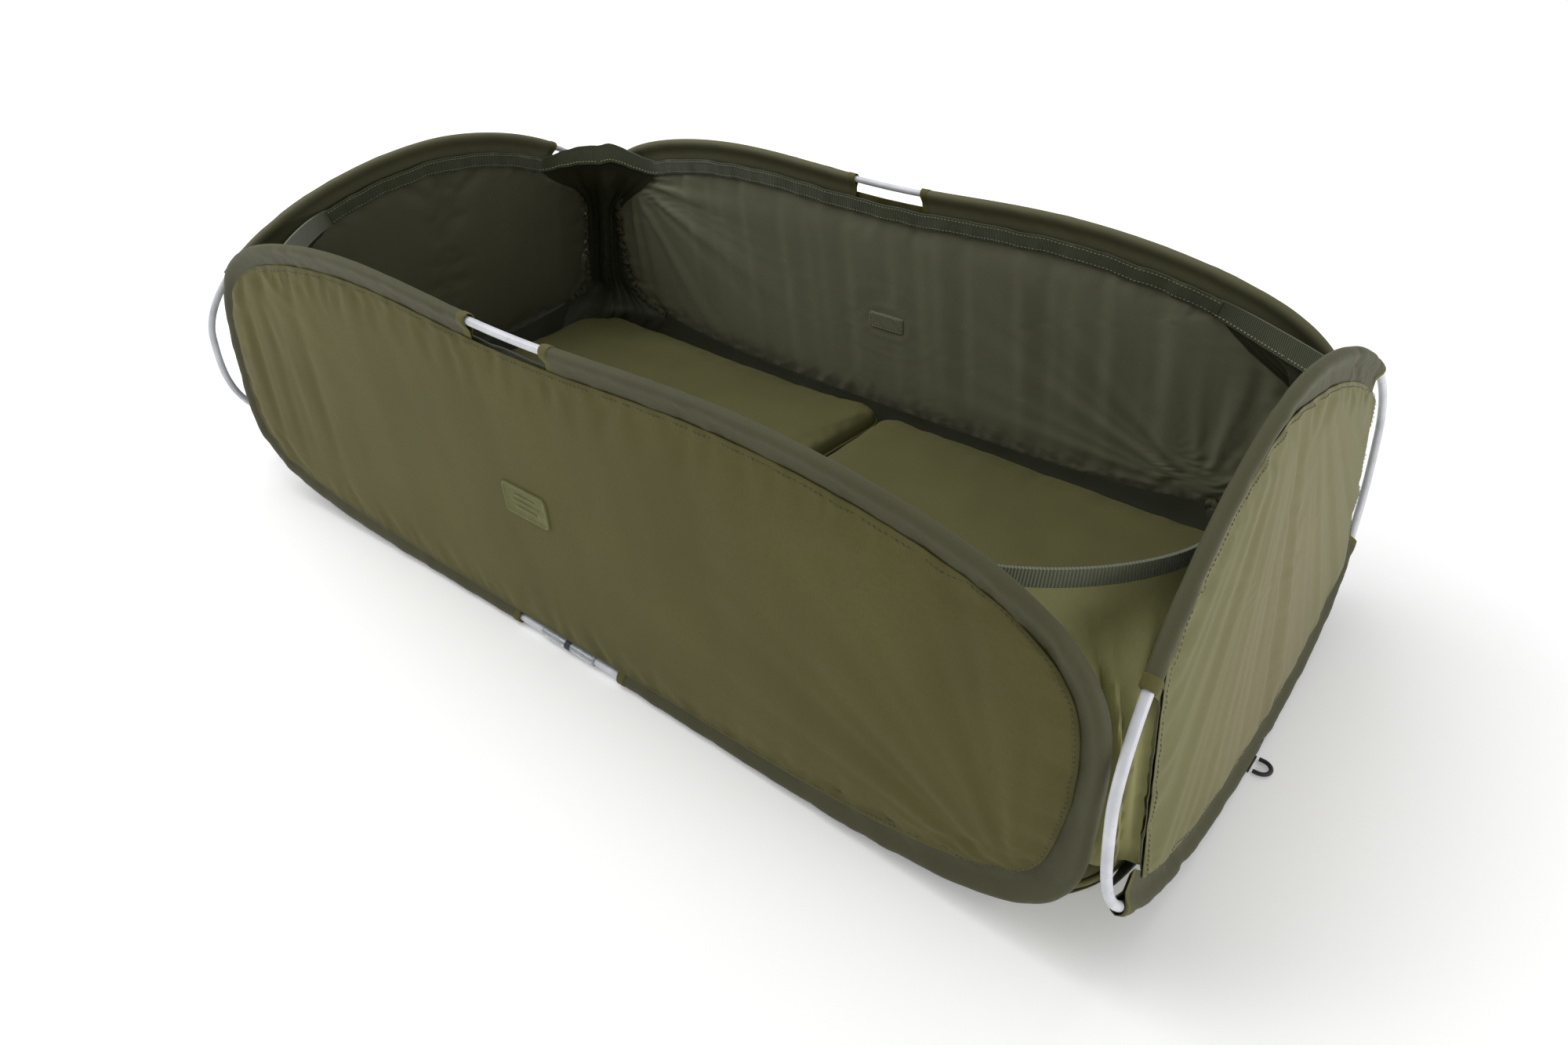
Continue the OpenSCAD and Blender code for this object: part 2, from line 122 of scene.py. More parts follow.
# ---- Walls ----
class Wall:
    """One wall as the CAD draws it, in metres and radians."""

    def __init__(self, name, side, lengthwise, out, height, mid, lean, bows, squareness, hump):
        low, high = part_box(name + "_hoop_tube")
        self.name = name
        self.side = side
        self.lengthwise = lengthwise
        self.axis = 0 if lengthwise else 1
        self.half = (high[self.axis] - low[self.axis]) / 2 - TUBE_R
        self.shift = (high[self.axis] + low[self.axis]) / 2
        self.base = low.z + TUBE_R
        self.out = out
        self.height = height
        self.mid = mid
        self.lean = math.radians(lean)
        self.bow_top, self.bow_low = bows
        self.n_top, self.n_low = squareness
        self.hump = hump
        self.body = name + "_wall"

    def place(self, u, v, d):
        """Points of the frame for a place u along, v up and d outward from the wall's middle."""
        rel = u / self.half
        q = v / self.height
        bow = self.bow_top * q + self.bow_low * (1 - q)
        out = self.out + v * math.sin(self.lean) + bow * (1.5 * (1 - rel * rel) - 0.5) + d
        along = u + self.shift
        z = v * math.cos(self.lean) + self.base
        out = self.side * out
        parts = (along, out, z) if self.lengthwise else (out, along, z)
        return np.stack(np.broadcast_arrays(*parts), -1)

    def push(self, points, by):
        """The points moved outward from the cradle by those distances."""
        moved = np.array(points, float)
        moved[..., 1 - self.axis] += self.side * by
        return moved

    def hoop(self, a):
        """(u, v) of the hoop's centre line at angles a from the +u side towards the top."""
        a = np.asarray(a, float)
        c, s = np.cos(a), np.sin(a)
        n = np.where(s < 0, self.n_low, self.n_top)
        r = (np.abs(c) ** n + np.abs(s) ** n) ** (-1 / n)
        cu, sv = r * c, r * s
        reach = self.height * np.where(s < 0, self.mid, 1 - self.mid)
        rise = -self.hump * np.maximum(sv, 0) * np.cos(TAU * cu) * (1 - cu * cu)
        return np.stack([self.half * cu, self.height * self.mid + sv * reach + rise], -1)

    def inward(self, a):
        step = math.radians(0.5)
        t = unit(self.hoop(np.asarray(a) + step) - self.hoop(np.asarray(a) - step))
        return np.stack([-t[..., 1], t[..., 0]], -1)

    def edge(self, a, inset):
        """(u, v) of a line inside the hoop. An end wall's cloth stops short of the bare sides."""
        p = self.hoop(a) + np.asarray(inset)[..., None] * self.inward(a)
        reach = self.half if self.lengthwise else END_CLOTH_HALF - np.maximum(0, inset - PANEL_INSET)
        return np.stack([np.clip(p[..., 0], -reach, reach), p[..., 1]], -1)

    def angles(self, start, end, step):
        """Angles from start to end, that many metres of hoop apart, and the metres run at each."""
        fine = np.linspace(start, end, 1400)
        run = np.concatenate([[0], np.cumsum(np.linalg.norm(np.diff(self.hoop(fine), axis=0), axis=1))])
        count = max(2, int(round(run[-1] / step)) + 1)
        even = np.linspace(0, run[-1], count)
        return np.interp(even, run, fine), even

    def rings(self, a, section):
        """Cross-sections of [inward, outward] points set along the hoop at angles a."""
        section = np.broadcast_to(section, (len(a),) + np.shape(section)[-2:])
        p = self.hoop(a)[:, None, :] + self.inward(a)[:, None, :] * section[..., :1]
        return self.place(p[..., 0], p[..., 1], section[..., 1])

    def pace(self, a):
        step = math.radians(0.5)
        return float(np.linalg.norm(self.hoop(a + step) - self.hoop(a - step))) / (2 * step)


NEAR = Wall("near", -1, True, 0.307, 0.347, 0.45, 1.1, (0.012, -0.010), (3.3, 4.0), 0.005)
FAR = Wall("far", 1, True, 0.307, 0.347, 0.45, -6.5, (-0.017, -0.007), (3.3, 4.0), 0.005)
HEAD = Wall("head", -1, False, 0.588, 0.344, 0.49, -4.5, (-0.014, 0.006), (1.8, 3.0), 0.0)
FOOT = Wall("foot", 1, False, 0.588, 0.344, 0.49, -5.6, (-0.005, 0.005), (1.8, 3.0), 0.0)
WALLS = (NEAR, FAR, HEAD, FOOT)
LOW = math.radians(-90)
TOP = math.radians(90)
SIDE_ENDS = {"head": (-37.5, 52.5, 154, 217.5), "foot": (-37.5, 37.5, 152, 217.5)}
TAPE_START = {True: 48, False: 56}

# How far inside the hoop the outer cloth stops, in mm, at angles in degrees: it is drawn over the
# sleeve closely at the sides and foot of a long wall and on the near side of an end wall.
LONG_EDGE_AT = (-90, -62, -40, -18, 0, 30, 60, 90, 120, 150, 180, 215, 240, 270)
LONG_EDGE_MM = (9, 13, 22, 19, 13, 13, 16, 16, 16, 12, 9, 11, 11, 9)
END_EDGE_AT = (-90, -45, 0, 30, 60, 84, 96, 120, 150, 180, 225, 270)
END_EDGE_MM = (17, 19, 24, 24, 24, 22, 14, 10, 10, 20, 19, 17)


def outer_inset(wall, a):
    at, mm = (LONG_EDGE_AT, LONG_EDGE_MM) if wall.lengthwise else (END_EDGE_AT, END_EDGE_MM)
    turned = (np.degrees(a) + 90) % 360 - 90
    return np.interp(turned, at, mm) * MM


def sleeve_spans(wall):
    """The two stretches of hoop that a sleeve covers, as pairs of angles."""
    if wall.lengthwise:
        low = LOW_GAP_LENGTH / 2 / wall.pace(LOW)
        top = GRIP_LENGTH / 2 / wall.pace(TOP)
        return {"foot": (LOW + low, TOP - top), "head": (TOP + top, LOW + TAU - low)}
    a = [math.radians(x) for x in SIDE_ENDS[wall.name]]
    return {"top": (a[1], a[2]), "low": (a[3], TAU + a[0])}


# ---- Meshes ----
def quads(index):
    """Four-cornered faces over a 2-D array of vertex numbers."""
    return np.stack([index[:-1, :-1], index[1:, :-1], index[1:, 1:], index[:-1, 1:]], -1).reshape(-1, 4)


def border(index):
    """The vertex numbers round the edge of a grid, in order."""
    return np.concatenate([index[0, :-1], index[:-1, -1], index[-1, :0:-1], index[:0:-1, 0]])


def mesh_object(name, points, faces, material, cloth=None, smoothed=0):
    """A closed, smooth-shaded piece. cloth is each point's place on its flat cloth, for the weave."""
    mesh = bpy.data.meshes.new(name)
    mesh.from_pydata(np.asarray(points).reshape(-1, 3).tolist(), [], [list(map(int, f)) for f in faces])
    if cloth is not None:
        field = mesh.attributes.new("cloth", "FLOAT_VECTOR", "POINT")
        field.data.foreach_set("vector", np.asarray(cloth, np.float32).ravel())
    bm = bmesh.new()
    bm.from_mesh(mesh)
    bmesh.ops.recalc_face_normals(bm, faces=bm.faces)
    bm.to_mesh(mesh)
    bm.free()
    mesh.shade_smooth()
    if not smoothed:
        mesh.set_sharp_from_angle(angle=math.radians(55))
    mesh.materials.append(material)
    piece = bpy.data.objects.new(name, mesh)
    bpy.context.scene.collection.objects.link(piece)
    if smoothed:
        subdivide = piece.modifiers.new("smooth", "SUBSURF")
        subdivide.levels = smoothed
        subdivide.render_levels = smoothed
    return piece


def tube_mesh(rings, closed=False, bore=None, offset=0):
    """Points and faces of a tube through rings of points, hollow if bore gives its inner rings."""
    rows, count = rings.shape[:2]
    index = np.arange(rows * count).reshape(rows, count) + offset
    loop = np.concatenate([index, index[:, :1]], 1)
    if closed:
        loop = np.concatenate([loop, loop[:1]], 0)
    faces = [tuple(f) for f in quads(loop)]
    points = rings.reshape(-1, 3)
    if bore is None:
        if not closed:
            faces += [tuple(index[0]), tuple(index[-1][::-1])]
        return points, faces
    inner = index + rows * count
    inner_loop = np.concatenate([inner, inner[:, :1]], 1)
    if closed:
        inner_loop = np.concatenate([inner_loop, inner_loop[:1]], 0)
    faces += [tuple(f[::-1]) for f in quads(inner_loop)]
    if not closed:
        for row in (0, -1):
            a, b = loop[row], inner_loop[row]
            faces += [(a[k], b[k], b[k + 1], a[k + 1]) for k in range(count)]
    return np.concatenate([points, bore.reshape(-1, 3)]), faces


def circle(radius, count, middle=(0, 0)):
    a = np.arange(count) * TAU / count
    return np.stack([middle[0] + radius * np.cos(a), middle[1] + radius * np.sin(a)], -1)


def along_cloth(run, across, count_in=1):
    """Weave coordinates for a swept piece: metres along it and metres across it."""
    grid = np.zeros((len(run), len(across), 3))
    grid[..., 0] = np.asarray(run)[:, None]
    grid[..., 1] = np.asarray(across)[None, :]
    return np.concatenate([grid.reshape(-1, 3)] * count_in)


def perimeter(section):
    steps = np.linalg.norm(np.diff(section, axis=0), axis=1)
    return np.concatenate([[0], np.cumsum(steps)])


def grid_normals(points):
    du = np.gradient(points, axis=0)
    dv = np.gradient(points, axis=1)
    return unit(np.cross(du, dv))


def thick_sheet(name, points, thickness, material, cloth, smoothed=0, flip=False, centred=False):
    """A closed sheet of that thickness, with the grid of points as one of its faces or its middle."""
    rows, cols = points.shape[:2]
    side = -1 if flip else 1
    normals = side * grid_normals(points)
    points = points + centred * thickness / 2 * normals
    back = points - thickness * normals
    index = np.arange(rows * cols).reshape(rows, cols)
    faces = [tuple(f) for f in quads(index)]
    faces += [tuple(f[::-1] + rows * cols) for f in quads(index)]
    rim = border(index)
    following = np.roll(rim, -1)
    faces += [(a, b, b + rows * cols, a + rows * cols) for a, b in zip(rim, following)]
    both = np.concatenate([points.reshape(-1, 3), back.reshape(-1, 3)])
    field = np.concatenate([np.asarray(cloth).reshape(-1, 3)] * 2)
    return mesh_object(name, both, faces, material, field, smoothed)


def stitches(name, path, up, material, pitch=STITCH_PITCH, length=STITCH, radius=THREAD_R):
    """A row of thread stitches lying along a path, each a small flattened capsule. up is the cloth's normal."""
    path, up = np.asarray(path), unit(np.asarray(up))
    run = perimeter(path)
    starts = np.arange(pitch / 2, run[-1] - length, pitch)
    profile = np.array([[0.0, 0.35], [0.12, 0.8], [0.5, 1.0], [0.88, 0.8], [1.0, 0.35]])
    around = circle(1.0, 6)
    points, faces = [], []
    for start in starts:
        at = start + profile[:, 0] * length
        centre = np.stack([np.interp(at, run, path[:, k]) for k in range(3)], -1)
        normal = unit(np.stack([np.interp(at, run, up[:, k]) for k in range(3)], -1))
        ahead = unit(centre[-1:] - centre[:1])
        across = unit(np.cross(normal, ahead))
        size = radius * profile[:, 1]
        lift = radius * (0.55 - 1.2 * (2 * profile[:, 0] - 1) ** 4)
        ring = centre[:, None, :] + (normal * lift[:, None])[:, None, :]
        ring = ring + across[:, None, :] * (around[:, 0] * 1.25)[None, :, None] * size[:, None, None]
        ring = ring + normal[:, None, :] * around[:, 1][None, :, None] * size[:, None, None]
        new_points, new_faces = tube_mesh(ring, offset=sum(len(p) for p in points))
        points.append(new_points)
        faces += new_faces
    return mesh_object(name, np.concatenate(points), faces, material)


# ---- Materials ----
class Shader:
    """A node material that is built up step by step."""

    def __init__(self, name, **sockets):
        self.material = bpy.data.materials.new(name)
        self.material.use_nodes = True
        self.nodes = self.material.node_tree.nodes
        self.links = self.material.node_tree.links
        self.nodes.clear()
        self.output = self.nodes.new("ShaderNodeOutputMaterial")
        self.skin = self.nodes.new("ShaderNodeBsdfPrincipled")
        self.links.new(self.skin.outputs[0], self.output.inputs["Surface"])
        for socket, value in sockets.items():
            self.skin.inputs[socket.replace("_", " ")].default_value = value

    def node(self, kind, inputs=None, **settings):
        made = self.nodes.new(kind)
        for key, value in settings.items():
            setattr(made, key, value)
        for key, value in (inputs or {}).items():
            if isinstance(value, bpy.types.NodeSocket):
                self.links.new(value, made.inputs[key])
            else:
                made.inputs[key].default_value = value
        return made

    def place(self, cloth=True):
        """Place on the flat cloth, or in the frame."""
        if cloth:
            return self.node("ShaderNodeAttribute", attribute_name="cloth").outputs["Vector"]
        return self.node("ShaderNodeTexCoord").outputs["Object"]

    def turned(self, vector, turn):
        return self.node("ShaderNodeMapping", {"Vector": vector, "Rotation": turn}).outputs[0]

    def bands(self, vector, pitch, direction):
        inputs = {"Vector": vector, "Scale": TAU / 20 / pitch, "Distortion": 0.0}
        return self.node("ShaderNodeTexWave", inputs, bands_direction=direction).outputs["Fac"]

    def noise(self, vector, size, detail=3.0):
        inputs = {"Vector": vector, "Scale": 1 / size, "Detail": detail, "Roughness": 0.55}
        return self.node("ShaderNodeTexNoise", inputs).outputs["Fac"]

    def maths(self, operation, a, b=0.5, c=0.0):
        made = self.node("ShaderNodeMath", operation=operation)
        for socket, value in zip(made.inputs, (a, b, c)):
            if isinstance(value, bpy.types.NodeSocket):
                self.links.new(value, socket)
            else:
                socket.default_value = value
        return made.outputs[0]

    def ramp(self, value, low, high, to_low, to_high):
        inputs = {"Value": value, "From Min": low, "From Max": high, "To Min": to_low, "To Max": to_high}
        return self.node("ShaderNodeMapRange", inputs).outputs[0]

    def mix(self, share, a, b, blend="MIX"):
        made = self.node("ShaderNodeMix", data_type="RGBA", blend_type=blend)
        for key, value in ((0, share), (6, a), (7, b)):
            if isinstance(value, bpy.types.NodeSocket):
                self.links.new(value, made.inputs[key])
            else:
                made.inputs[key].default_value = value
        return made.outputs[2]

    def paint(self, colour):
        self.links.new(colour, self.skin.inputs["Base Color"])

    def rough(self, value):
        self.links.new(value, self.skin.inputs["Roughness"])

    def bump(self, height, strength, distance):
        made = self.node("ShaderNodeBump", {"Height": height, "Strength": strength, "Distance": distance})
        self.links.new(made.outputs[0], self.skin.inputs["Normal"])


def rgba(colour, scale=1.0):
    return [c * scale for c in colour] + [1.0]


def woven(name, colour, pitch, rough, sheen, mottle=0.16, weave=0.5, diagonal=False, bump=0.35, gloss=0.3, rim=None):
    """Woven cloth: threads both ways, uneven yarn, slow colour drift, a soft sheen and a tint towards its rim."""
    s = Shader(name, Sheen_Weight=0.4 * sheen, Sheen_Roughness=0.45, Specular_IOR_Level=gloss)
    s.skin.inputs["Sheen Tint"].default_value = rgba([0.2 + 0.8 * c / max(colour) for c in colour])
    flat = s.place()
    turned = s.turned(flat, (0, 0, math.radians(32 if diagonal else 0)))
    warp = s.bands(turned, pitch, "X")
    weft = s.bands(turned, pitch, "Y")
    threads = s.maths("MULTIPLY", warp, weft)
    yarn = s.noise(s.node("ShaderNodeMapping", {"Vector": flat, "Scale": (1, 0.25, 1)}).outputs[0], 1.6 * pitch)
    drift = s.noise(flat, 0.16, 2.0)
    speck = s.noise(flat, 0.004, 2.0)
    dark, light = rgba(colour, 1 - mottle), rgba(colour, 1 + mottle)
    base = s.mix(s.ramp(drift, 0.3, 0.7, 0, 1), dark, light)
    if rim is not None:
        outward = s.node("ShaderNodeVectorMath", {0: flat, 1: (0.0, 0.12, 0.0)}, operation="DISTANCE").outputs["Value"]
        base = s.mix(s.ramp(outward, 0.08, 0.24, 0, 1), base, rgba(rim))
    base = s.mix(s.ramp(speck, 0.25, 0.75, 0, 0.45), base, rgba([colour[0] * 1.14, colour[1] * 1.02, colour[2] * 0.8]))
    base = s.mix(s.ramp(threads, 0.1, 0.9, weave * 0.5, 0), base, rgba(colour, 0.45))
    base = s.mix(s.ramp(yarn, 0.35, 0.7, 0.18, 0), base, rgba(colour, 0.6))
    s.paint(base)
    s.rough(s.ramp(speck, 0.2, 0.8, rough - 0.06, rough + 0.06))
    height = s.maths("ADD", s.maths("MULTIPLY", threads, 0.8), s.maths("MULTIPLY", yarn, 0.5))
    s.bump(height, bump, 0.00035)
    return s.material


def webbing(name, colour):
    """Ribbed webbing: cross ribs, a herringbone yarn and worn high spots."""
    s = Shader(name, Sheen_Weight=0.25, Sheen_Roughness=0.5, Specular_IOR_Level=0.3)
    flat = s.place()
    ribs = s.bands(flat, 2.0 * MM, "X")
    slant = s.bands(s.turned(flat, (0, 0, math.radians(52))), 1.4 * MM, "X")
    drift = s.noise(flat, 0.05, 3.0)
    base = s.mix(s.ramp(drift, 0.3, 0.7, 0, 1), rgba(colour, 0.8), rgba(colour, 1.2))
    base = s.mix(s.ramp(ribs, 0.15, 0.7, 0.6, 0), base, rgba(colour, 0.3))
    base = s.mix(s.ramp(slant, 0.2, 0.8, 0.22, 0), base, rgba(colour, 0.5))
    s.paint(base)
    s.rough(s.ramp(drift, 0.2, 0.8, 0.62, 0.8))
    s.bump(s.maths("ADD", ribs, s.maths("MULTIPLY", slant, 0.35)), 0.7, 0.0006)
    return s.material


def tube_plastic():
    """Milky, half clear tube with fine scuffs."""
    s = Shader("milky_tube", Specular_IOR_Level=0.5)
    spot = s.place(False)
    haze = s.noise(spot, 0.03, 3.0)
    scuff = s.noise(spot, 0.009, 3.0)
    s.paint(s.mix(s.ramp(haze, 0.3, 0.7, 0, 1), rgba(srgb(182, 184, 190)), rgba(srgb(208, 209, 213))))
    s.rough(s.ramp(scuff, 0.3, 0.75, 0.26, 0.38))
    return s.material


def clear_plastic():
    s = Shader("clear_joiner", Transmission_Weight=0.8, IOR=1.49)
    spot = s.place(False)
    scuff = s.noise(spot, 0.008, 3.0)
    s.paint(s.mix(s.ramp(scuff, 0.3, 0.8, 0, 1), rgba(srgb(220, 226, 228)), rgba(srgb(240, 242, 243))))
    s.rough(s.ramp(scuff, 0.35, 0.75, 0.1, 0.2))
    return s.material


def wire_steel():
    s = Shader("spring_wire", Metallic=1.0)
    spot = s.place(False)
    drawn = s.noise(s.node("ShaderNodeMapping", {"Vector": spot, "Scale": (1, 1, 6)}).outputs[0], 0.0012, 4.0)
    s.paint(s.mix(s.ramp(drawn, 0.3, 0.7, 0, 1), rgba(srgb(120, 124, 132)), rgba(srgb(160, 164, 172))))
    s.rough(s.ramp(drawn, 0.3, 0.7, 0.28, 0.45))
    return s.material


def rubber(name, colour):
    s = Shader(name, Specular_IOR_Level=0.35)
    spot = s.place(False)
    grain = s.noise(spot, 0.0008, 4.0)
    cloud = s.noise(spot, 0.012, 2.0)
    s.paint(s.mix(s.ramp(cloud, 0.3, 0.7, 0, 1), rgba(colour, 0.88), rgba(colour, 1.12)))
    s.rough(s.ramp(grain, 0.3, 0.7, 0.5, 0.68))
    s.bump(grain, 0.25, 0.0002)
    return s.material


def braid(name, colour):
    s = Shader(name, Sheen_Weight=0.2, Specular_IOR_Level=0.3)
    flat = s.place()
    one = s.bands(s.turned(flat, (0, 0, math.radians(40))), 1.5 * MM, "X")
    two = s.bands(s.turned(flat, (0, 0, math.radians(-40))), 1.5 * MM, "X")
    yarns = s.maths("MAXIMUM", one, two)
    s.paint(s.mix(s.ramp(yarns, 0.3, 0.95, 0, 1), rgba(colour, 0.4), rgba(colour, 1.8)))
    s.rough(s.ramp(yarns, 0.2, 0.9, 0.75, 0.55))
    s.bump(yarns, 0.8, 0.0004)
    return s.material


def thread(name, colour):
    s = Shader(name, Sheen_Weight=0.2, Specular_IOR_Level=0.35)
    spot = s.place(False)
    twist = s.noise(spot, 0.0007, 2.0)
    s.paint(s.mix(s.ramp(twist, 0.3, 0.7, 0, 1), rgba(colour, 0.7), rgba(colour, 1.25)))
    s.rough(s.ramp(twist, 0.3, 0.7, 0.5, 0.7))
    return s.material


OUTER_OLIVE = srgb(82, 79, 39)
END_SAGE = srgb(114, 109, 78)
END_GREEN = srgb(96, 99, 58)
LINER_GREY = srgb(116, 117, 99)
# Darker copy of the liner colour, for the head wall's liner: painted shade.
LINER_PAINTED_SHADE = srgb(90, 91, 74)
SLEEVE_GREY = srgb(74, 74, 55)
# Lighter copy of the sleeve colour, for the far and head walls' sleeves: painted light.
SLEEVE_LIT = srgb(92, 92, 70)
BAND_OLIVE = srgb(88, 86, 44)
MAT_OLIVE = srgb(91, 90, 54)
TAPE_GREEN = srgb(70, 75, 51)
# Lighter copy of the rim webbing colour, for the straps at the near corners: painted light.
STRAP_GREEN_PAINTED_LIGHT = srgb(94, 99, 75)
PATCH_GREEN = srgb(94, 96, 50)

outer_cloth = woven("outer_olive", OUTER_OLIVE, 1.1 * MM, 0.78, 0.18)
end_cloth = woven("end_sage", END_SAGE, 1.2 * MM, 0.66, 0.22, mottle=0.1, weave=0.35, rim=END_GREEN)
liner_cloth = woven("liner_satin", LINER_GREY, 0.8 * MM, 0.5, 0.12, mottle=0.08, weave=0.25, bump=0.15)
liner_cloth_painted_shade = woven("head_liner_satin", LINER_PAINTED_SHADE, 0.8 * MM, 0.55, 0.1, mottle=0.1, weave=0.3, bump=0.15)
sleeve_cloth = woven("sleeve_satin", SLEEVE_GREY, 0.8 * MM, 0.6, 0.1, mottle=0.1, weave=0.25, bump=0.15, gloss=0.14)
sleeve_cloth_painted_light = woven("pale_sleeve_satin", SLEEVE_LIT, 0.8 * MM, 0.6, 0.1, mottle=0.1, weave=0.25, bump=0.15, gloss=0.14)
band_cloth = woven("band_olive", BAND_OLIVE, 1.3 * MM, 0.8, 0.2, mottle=0.12, weave=0.6)
mat_cloth = woven("mat_olive", MAT_OLIVE, 1.1 * MM, 0.8, 0.16)
# Darker copy of the corner cloth, for three corners and the hinge strips: painted shade.
corner_dark = woven("corner_dark", srgb(50, 52, 38), 1.0 * MM, 0.6, 0.14, mottle=0.1, weave=0.3)
# Much lighter copy of the corner cloth, for the near-foot corner: painted light.
gusset_cloth_painted_light = woven("gusset_olive", srgb(136, 136, 90), 1.3 * MM, 0.74, 0.2, mottle=0.1, diagonal=True)
tape_webbing = webbing("rim_webbing", TAPE_GREEN)
strap_webbing = webbing("strap_webbing", STRAP_GREEN_PAINTED_LIGHT)
tube_material = tube_plastic()
joiner_material = clear_plastic()
wire_material = wire_steel()
patch_material = rubber("patch_rubber", PATCH_GREEN)
dark_slot = rubber("joiner_slot", srgb(52, 54, 58))
cord_material = braid("shock_cord", srgb(34, 34, 38))
dark_thread = thread("dark_thread", srgb(62, 60, 38))
light_thread = thread("light_thread", srgb(136, 138, 104))


# ---- Camera, lights and floor ----
def build_camera():
    """The viewing place: place and target in metres, lens in millimetres on a 36 mm wide sensor."""
    place = Vector((0.7007, -0.8120, 0.7037))
    target = Vector((0.1831, -0.1453, 0.1980))
    roll = 0.0195
    ahead = (target - place).normalized()
    right = ahead.cross(Vector((0, 0, 1))).normalized()
    up = right.cross(ahead)
    rolled_right = math.cos(roll) * right + math.sin(roll) * up
    rolled_up = -math.sin(roll) * right + math.cos(roll) * up
    camera = bpy.data.objects.new("camera", bpy.data.cameras.new("camera"))
    bpy.context.scene.collection.objects.link(camera)
    turn = Matrix((rolled_right, rolled_up, -ahead)).transposed().to_4x4()
    camera.matrix_world = Matrix.Translation(place) @ turn
    camera.data.sensor_width = 36
    camera.data.lens = 24.58
    camera.data.shift_x = -0.0102
    camera.data.shift_y = -0.0287
    camera.data.clip_start = 0.02
    bpy.context.scene.camera = camera


def area_light(name, place, target, size, power, colour=(1, 1, 1)):
    data = bpy.data.lights.new(name, "AREA")
    data.shape = "RECTANGLE"
    data.size, data.size_y = size
    data.energy = power
    data.color = colour
    light = bpy.data.objects.new(name, data)
    bpy.context.scene.collection.objects.link(light)
    light.location = place
    light.rotation_mode = "QUATERNION"
    light.rotation_quaternion = (Vector(target) - Vector(place)).to_track_quat("-Z", "Y")


def build_studio():
    world = bpy.data.worlds.new("studio")
    bpy.context.scene.world = world
    world.use_nodes = True
    world.node_tree.nodes["Background"].inputs["Color"].default_value = (1, 1, 1, 1)
    world.node_tree.nodes["Background"].inputs["Strength"].default_value = 0.45
    area_light("key", (-1.9, -1.2, 2.2), (0, 0, 0.1), (2.2, 2.2), 42)
    area_light("side", (2.2, -0.2, 0.45), (0.5, 0, 0.1), (1.2, 0.8), 14)
    area_light("back", (-0.3, 1.6, 2.6), (0, 0, 0), (3.0, 1.6), 16)
    area_light("top", (-0.7, -0.2, 2.6), (-0.3, 0, 0), (1.6, 1.6), 22)
    bpy.context.scene.view_settings.view_transform = "Standard"
    half = 30.0
    points = np.array([[-half, -half, -0.001], [half, -half, -0.001], [half, half, -0.001], [-half, half, -0.001]])
    s = Shader("floor_white", Roughness=0.9, Specular_IOR_Level=0.1)
    spot = s.place(False)
    s.paint(s.mix(s.noise(spot, 1.5, 2.0), rgba([0.93, 0.93, 0.93]), rgba([0.96, 0.96, 0.96])))
    s.skin.inputs["Emission Color"].default_value = (1, 1, 1, 1)
    away = s.node("ShaderNodeVectorMath", {0: spot}, operation="LENGTH").outputs["Value"]
    glow = s.ramp(away, 0.9, 2.6, 0.16, 0.62)
    s.links.new(glow, s.skin.inputs["Emission Strength"])
    floor = mesh_object("studio_floor", points, [(0, 1, 2, 3)], s.material)


build_camera()
build_studio()


# ---- Riding and hiding the replaced parts in one call ----
def fit(piece, body, replaced=()):
    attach(piece, body)
    if replaced:
        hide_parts(*replaced)
    return piece


def crush(piece, wall):
    """An end wall's piece gets a mesh of its own."""
    if not wall.lengthwise:
        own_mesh(piece)
    return piece


# ---- Hoops ----
def build_hoop(wall):
    a, _ = wall.angles(LOW, LOW + TAU, 6 * MM)
    a = a[:-1]
    points, faces = tube_mesh(wall.rings(a, circle(TUBE_R, 20)), True, wall.rings(a, circle(TUBE_BORE, 20)))
    tube = mesh_object(wall.name + "_tube", points, faces, tube_material)
    crush(fit(tube, wall.body, [wall.name + "_hoop_tube"]), wall)
    cut = 1.5 * MM / wall.pace(LOW)
    b, _ = wall.angles(LOW + cut, LOW + TAU - cut, 6 * MM)
    points, faces = tube_mesh(wall.rings(b, circle(WIRE_R, 12)))
    wire = mesh_object(wall.name + "_wire", points, faces, wire_material)
    crush(fit(wire, wall.body, [wall.name + "_hoop_wire"]), wall)


def build_joiner(wall):
    """A clear sleeve over the two ends of the hoop, with a rounded rim and a dark slot at its middle."""
    reach = JOINER_LENGTH / 2 / wall.pace(LOW)
    share = np.array([-1, -0.992, -0.975, -0.9, -0.5, 0, 0.5, 0.9, 0.975, 0.992, 1])
    size = np.array([0.9, 0.96, 1, 1, 1, 1, 1, 1, 1, 0.96, 0.9])
    a = LOW + share * reach
    outer = circle(1.0, 28)[None] * (JOINER_R * size)[:, None, None]
    inner = np.broadcast_to(circle(TUBE_R + 0.15 * MM, 28), outer.shape)
    points, faces = tube_mesh(wall.rings(a, outer), False, wall.rings(a, inner))
    joiner = mesh_object(wall.name + "_joiner", points, faces, joiner_material)
    crush(fit(joiner, wall.body, [wall.name + "_ferrule"]), wall)
    a, _ = wall.angles(LOW - 0.1 * reach, LOW + 0.1 * reach, 1.5 * MM)
    outer, inner = circle(JOINER_R + 0.15 * MM, 24), circle(JOINER_R - 0.3 * MM, 24)
    points, faces = tube_mesh(wall.rings(a, outer), False, wall.rings(a, inner))
    slot = mesh_object(wall.name + "_joiner_slot", points, faces, dark_slot)
    crush(fit(slot, wall.body), wall)


# ---- Sleeves ----
def sleeve_section(radius, tail, count=11):
    """Half of the outline from the outside of the hoop to the sewn tail, as [inward, half thickness]."""
    t = np.linspace(0, 1, count)
    inward = -radius + (radius + tail) * t ** 1.35
    return inward, sleeve_half(inward, radius)


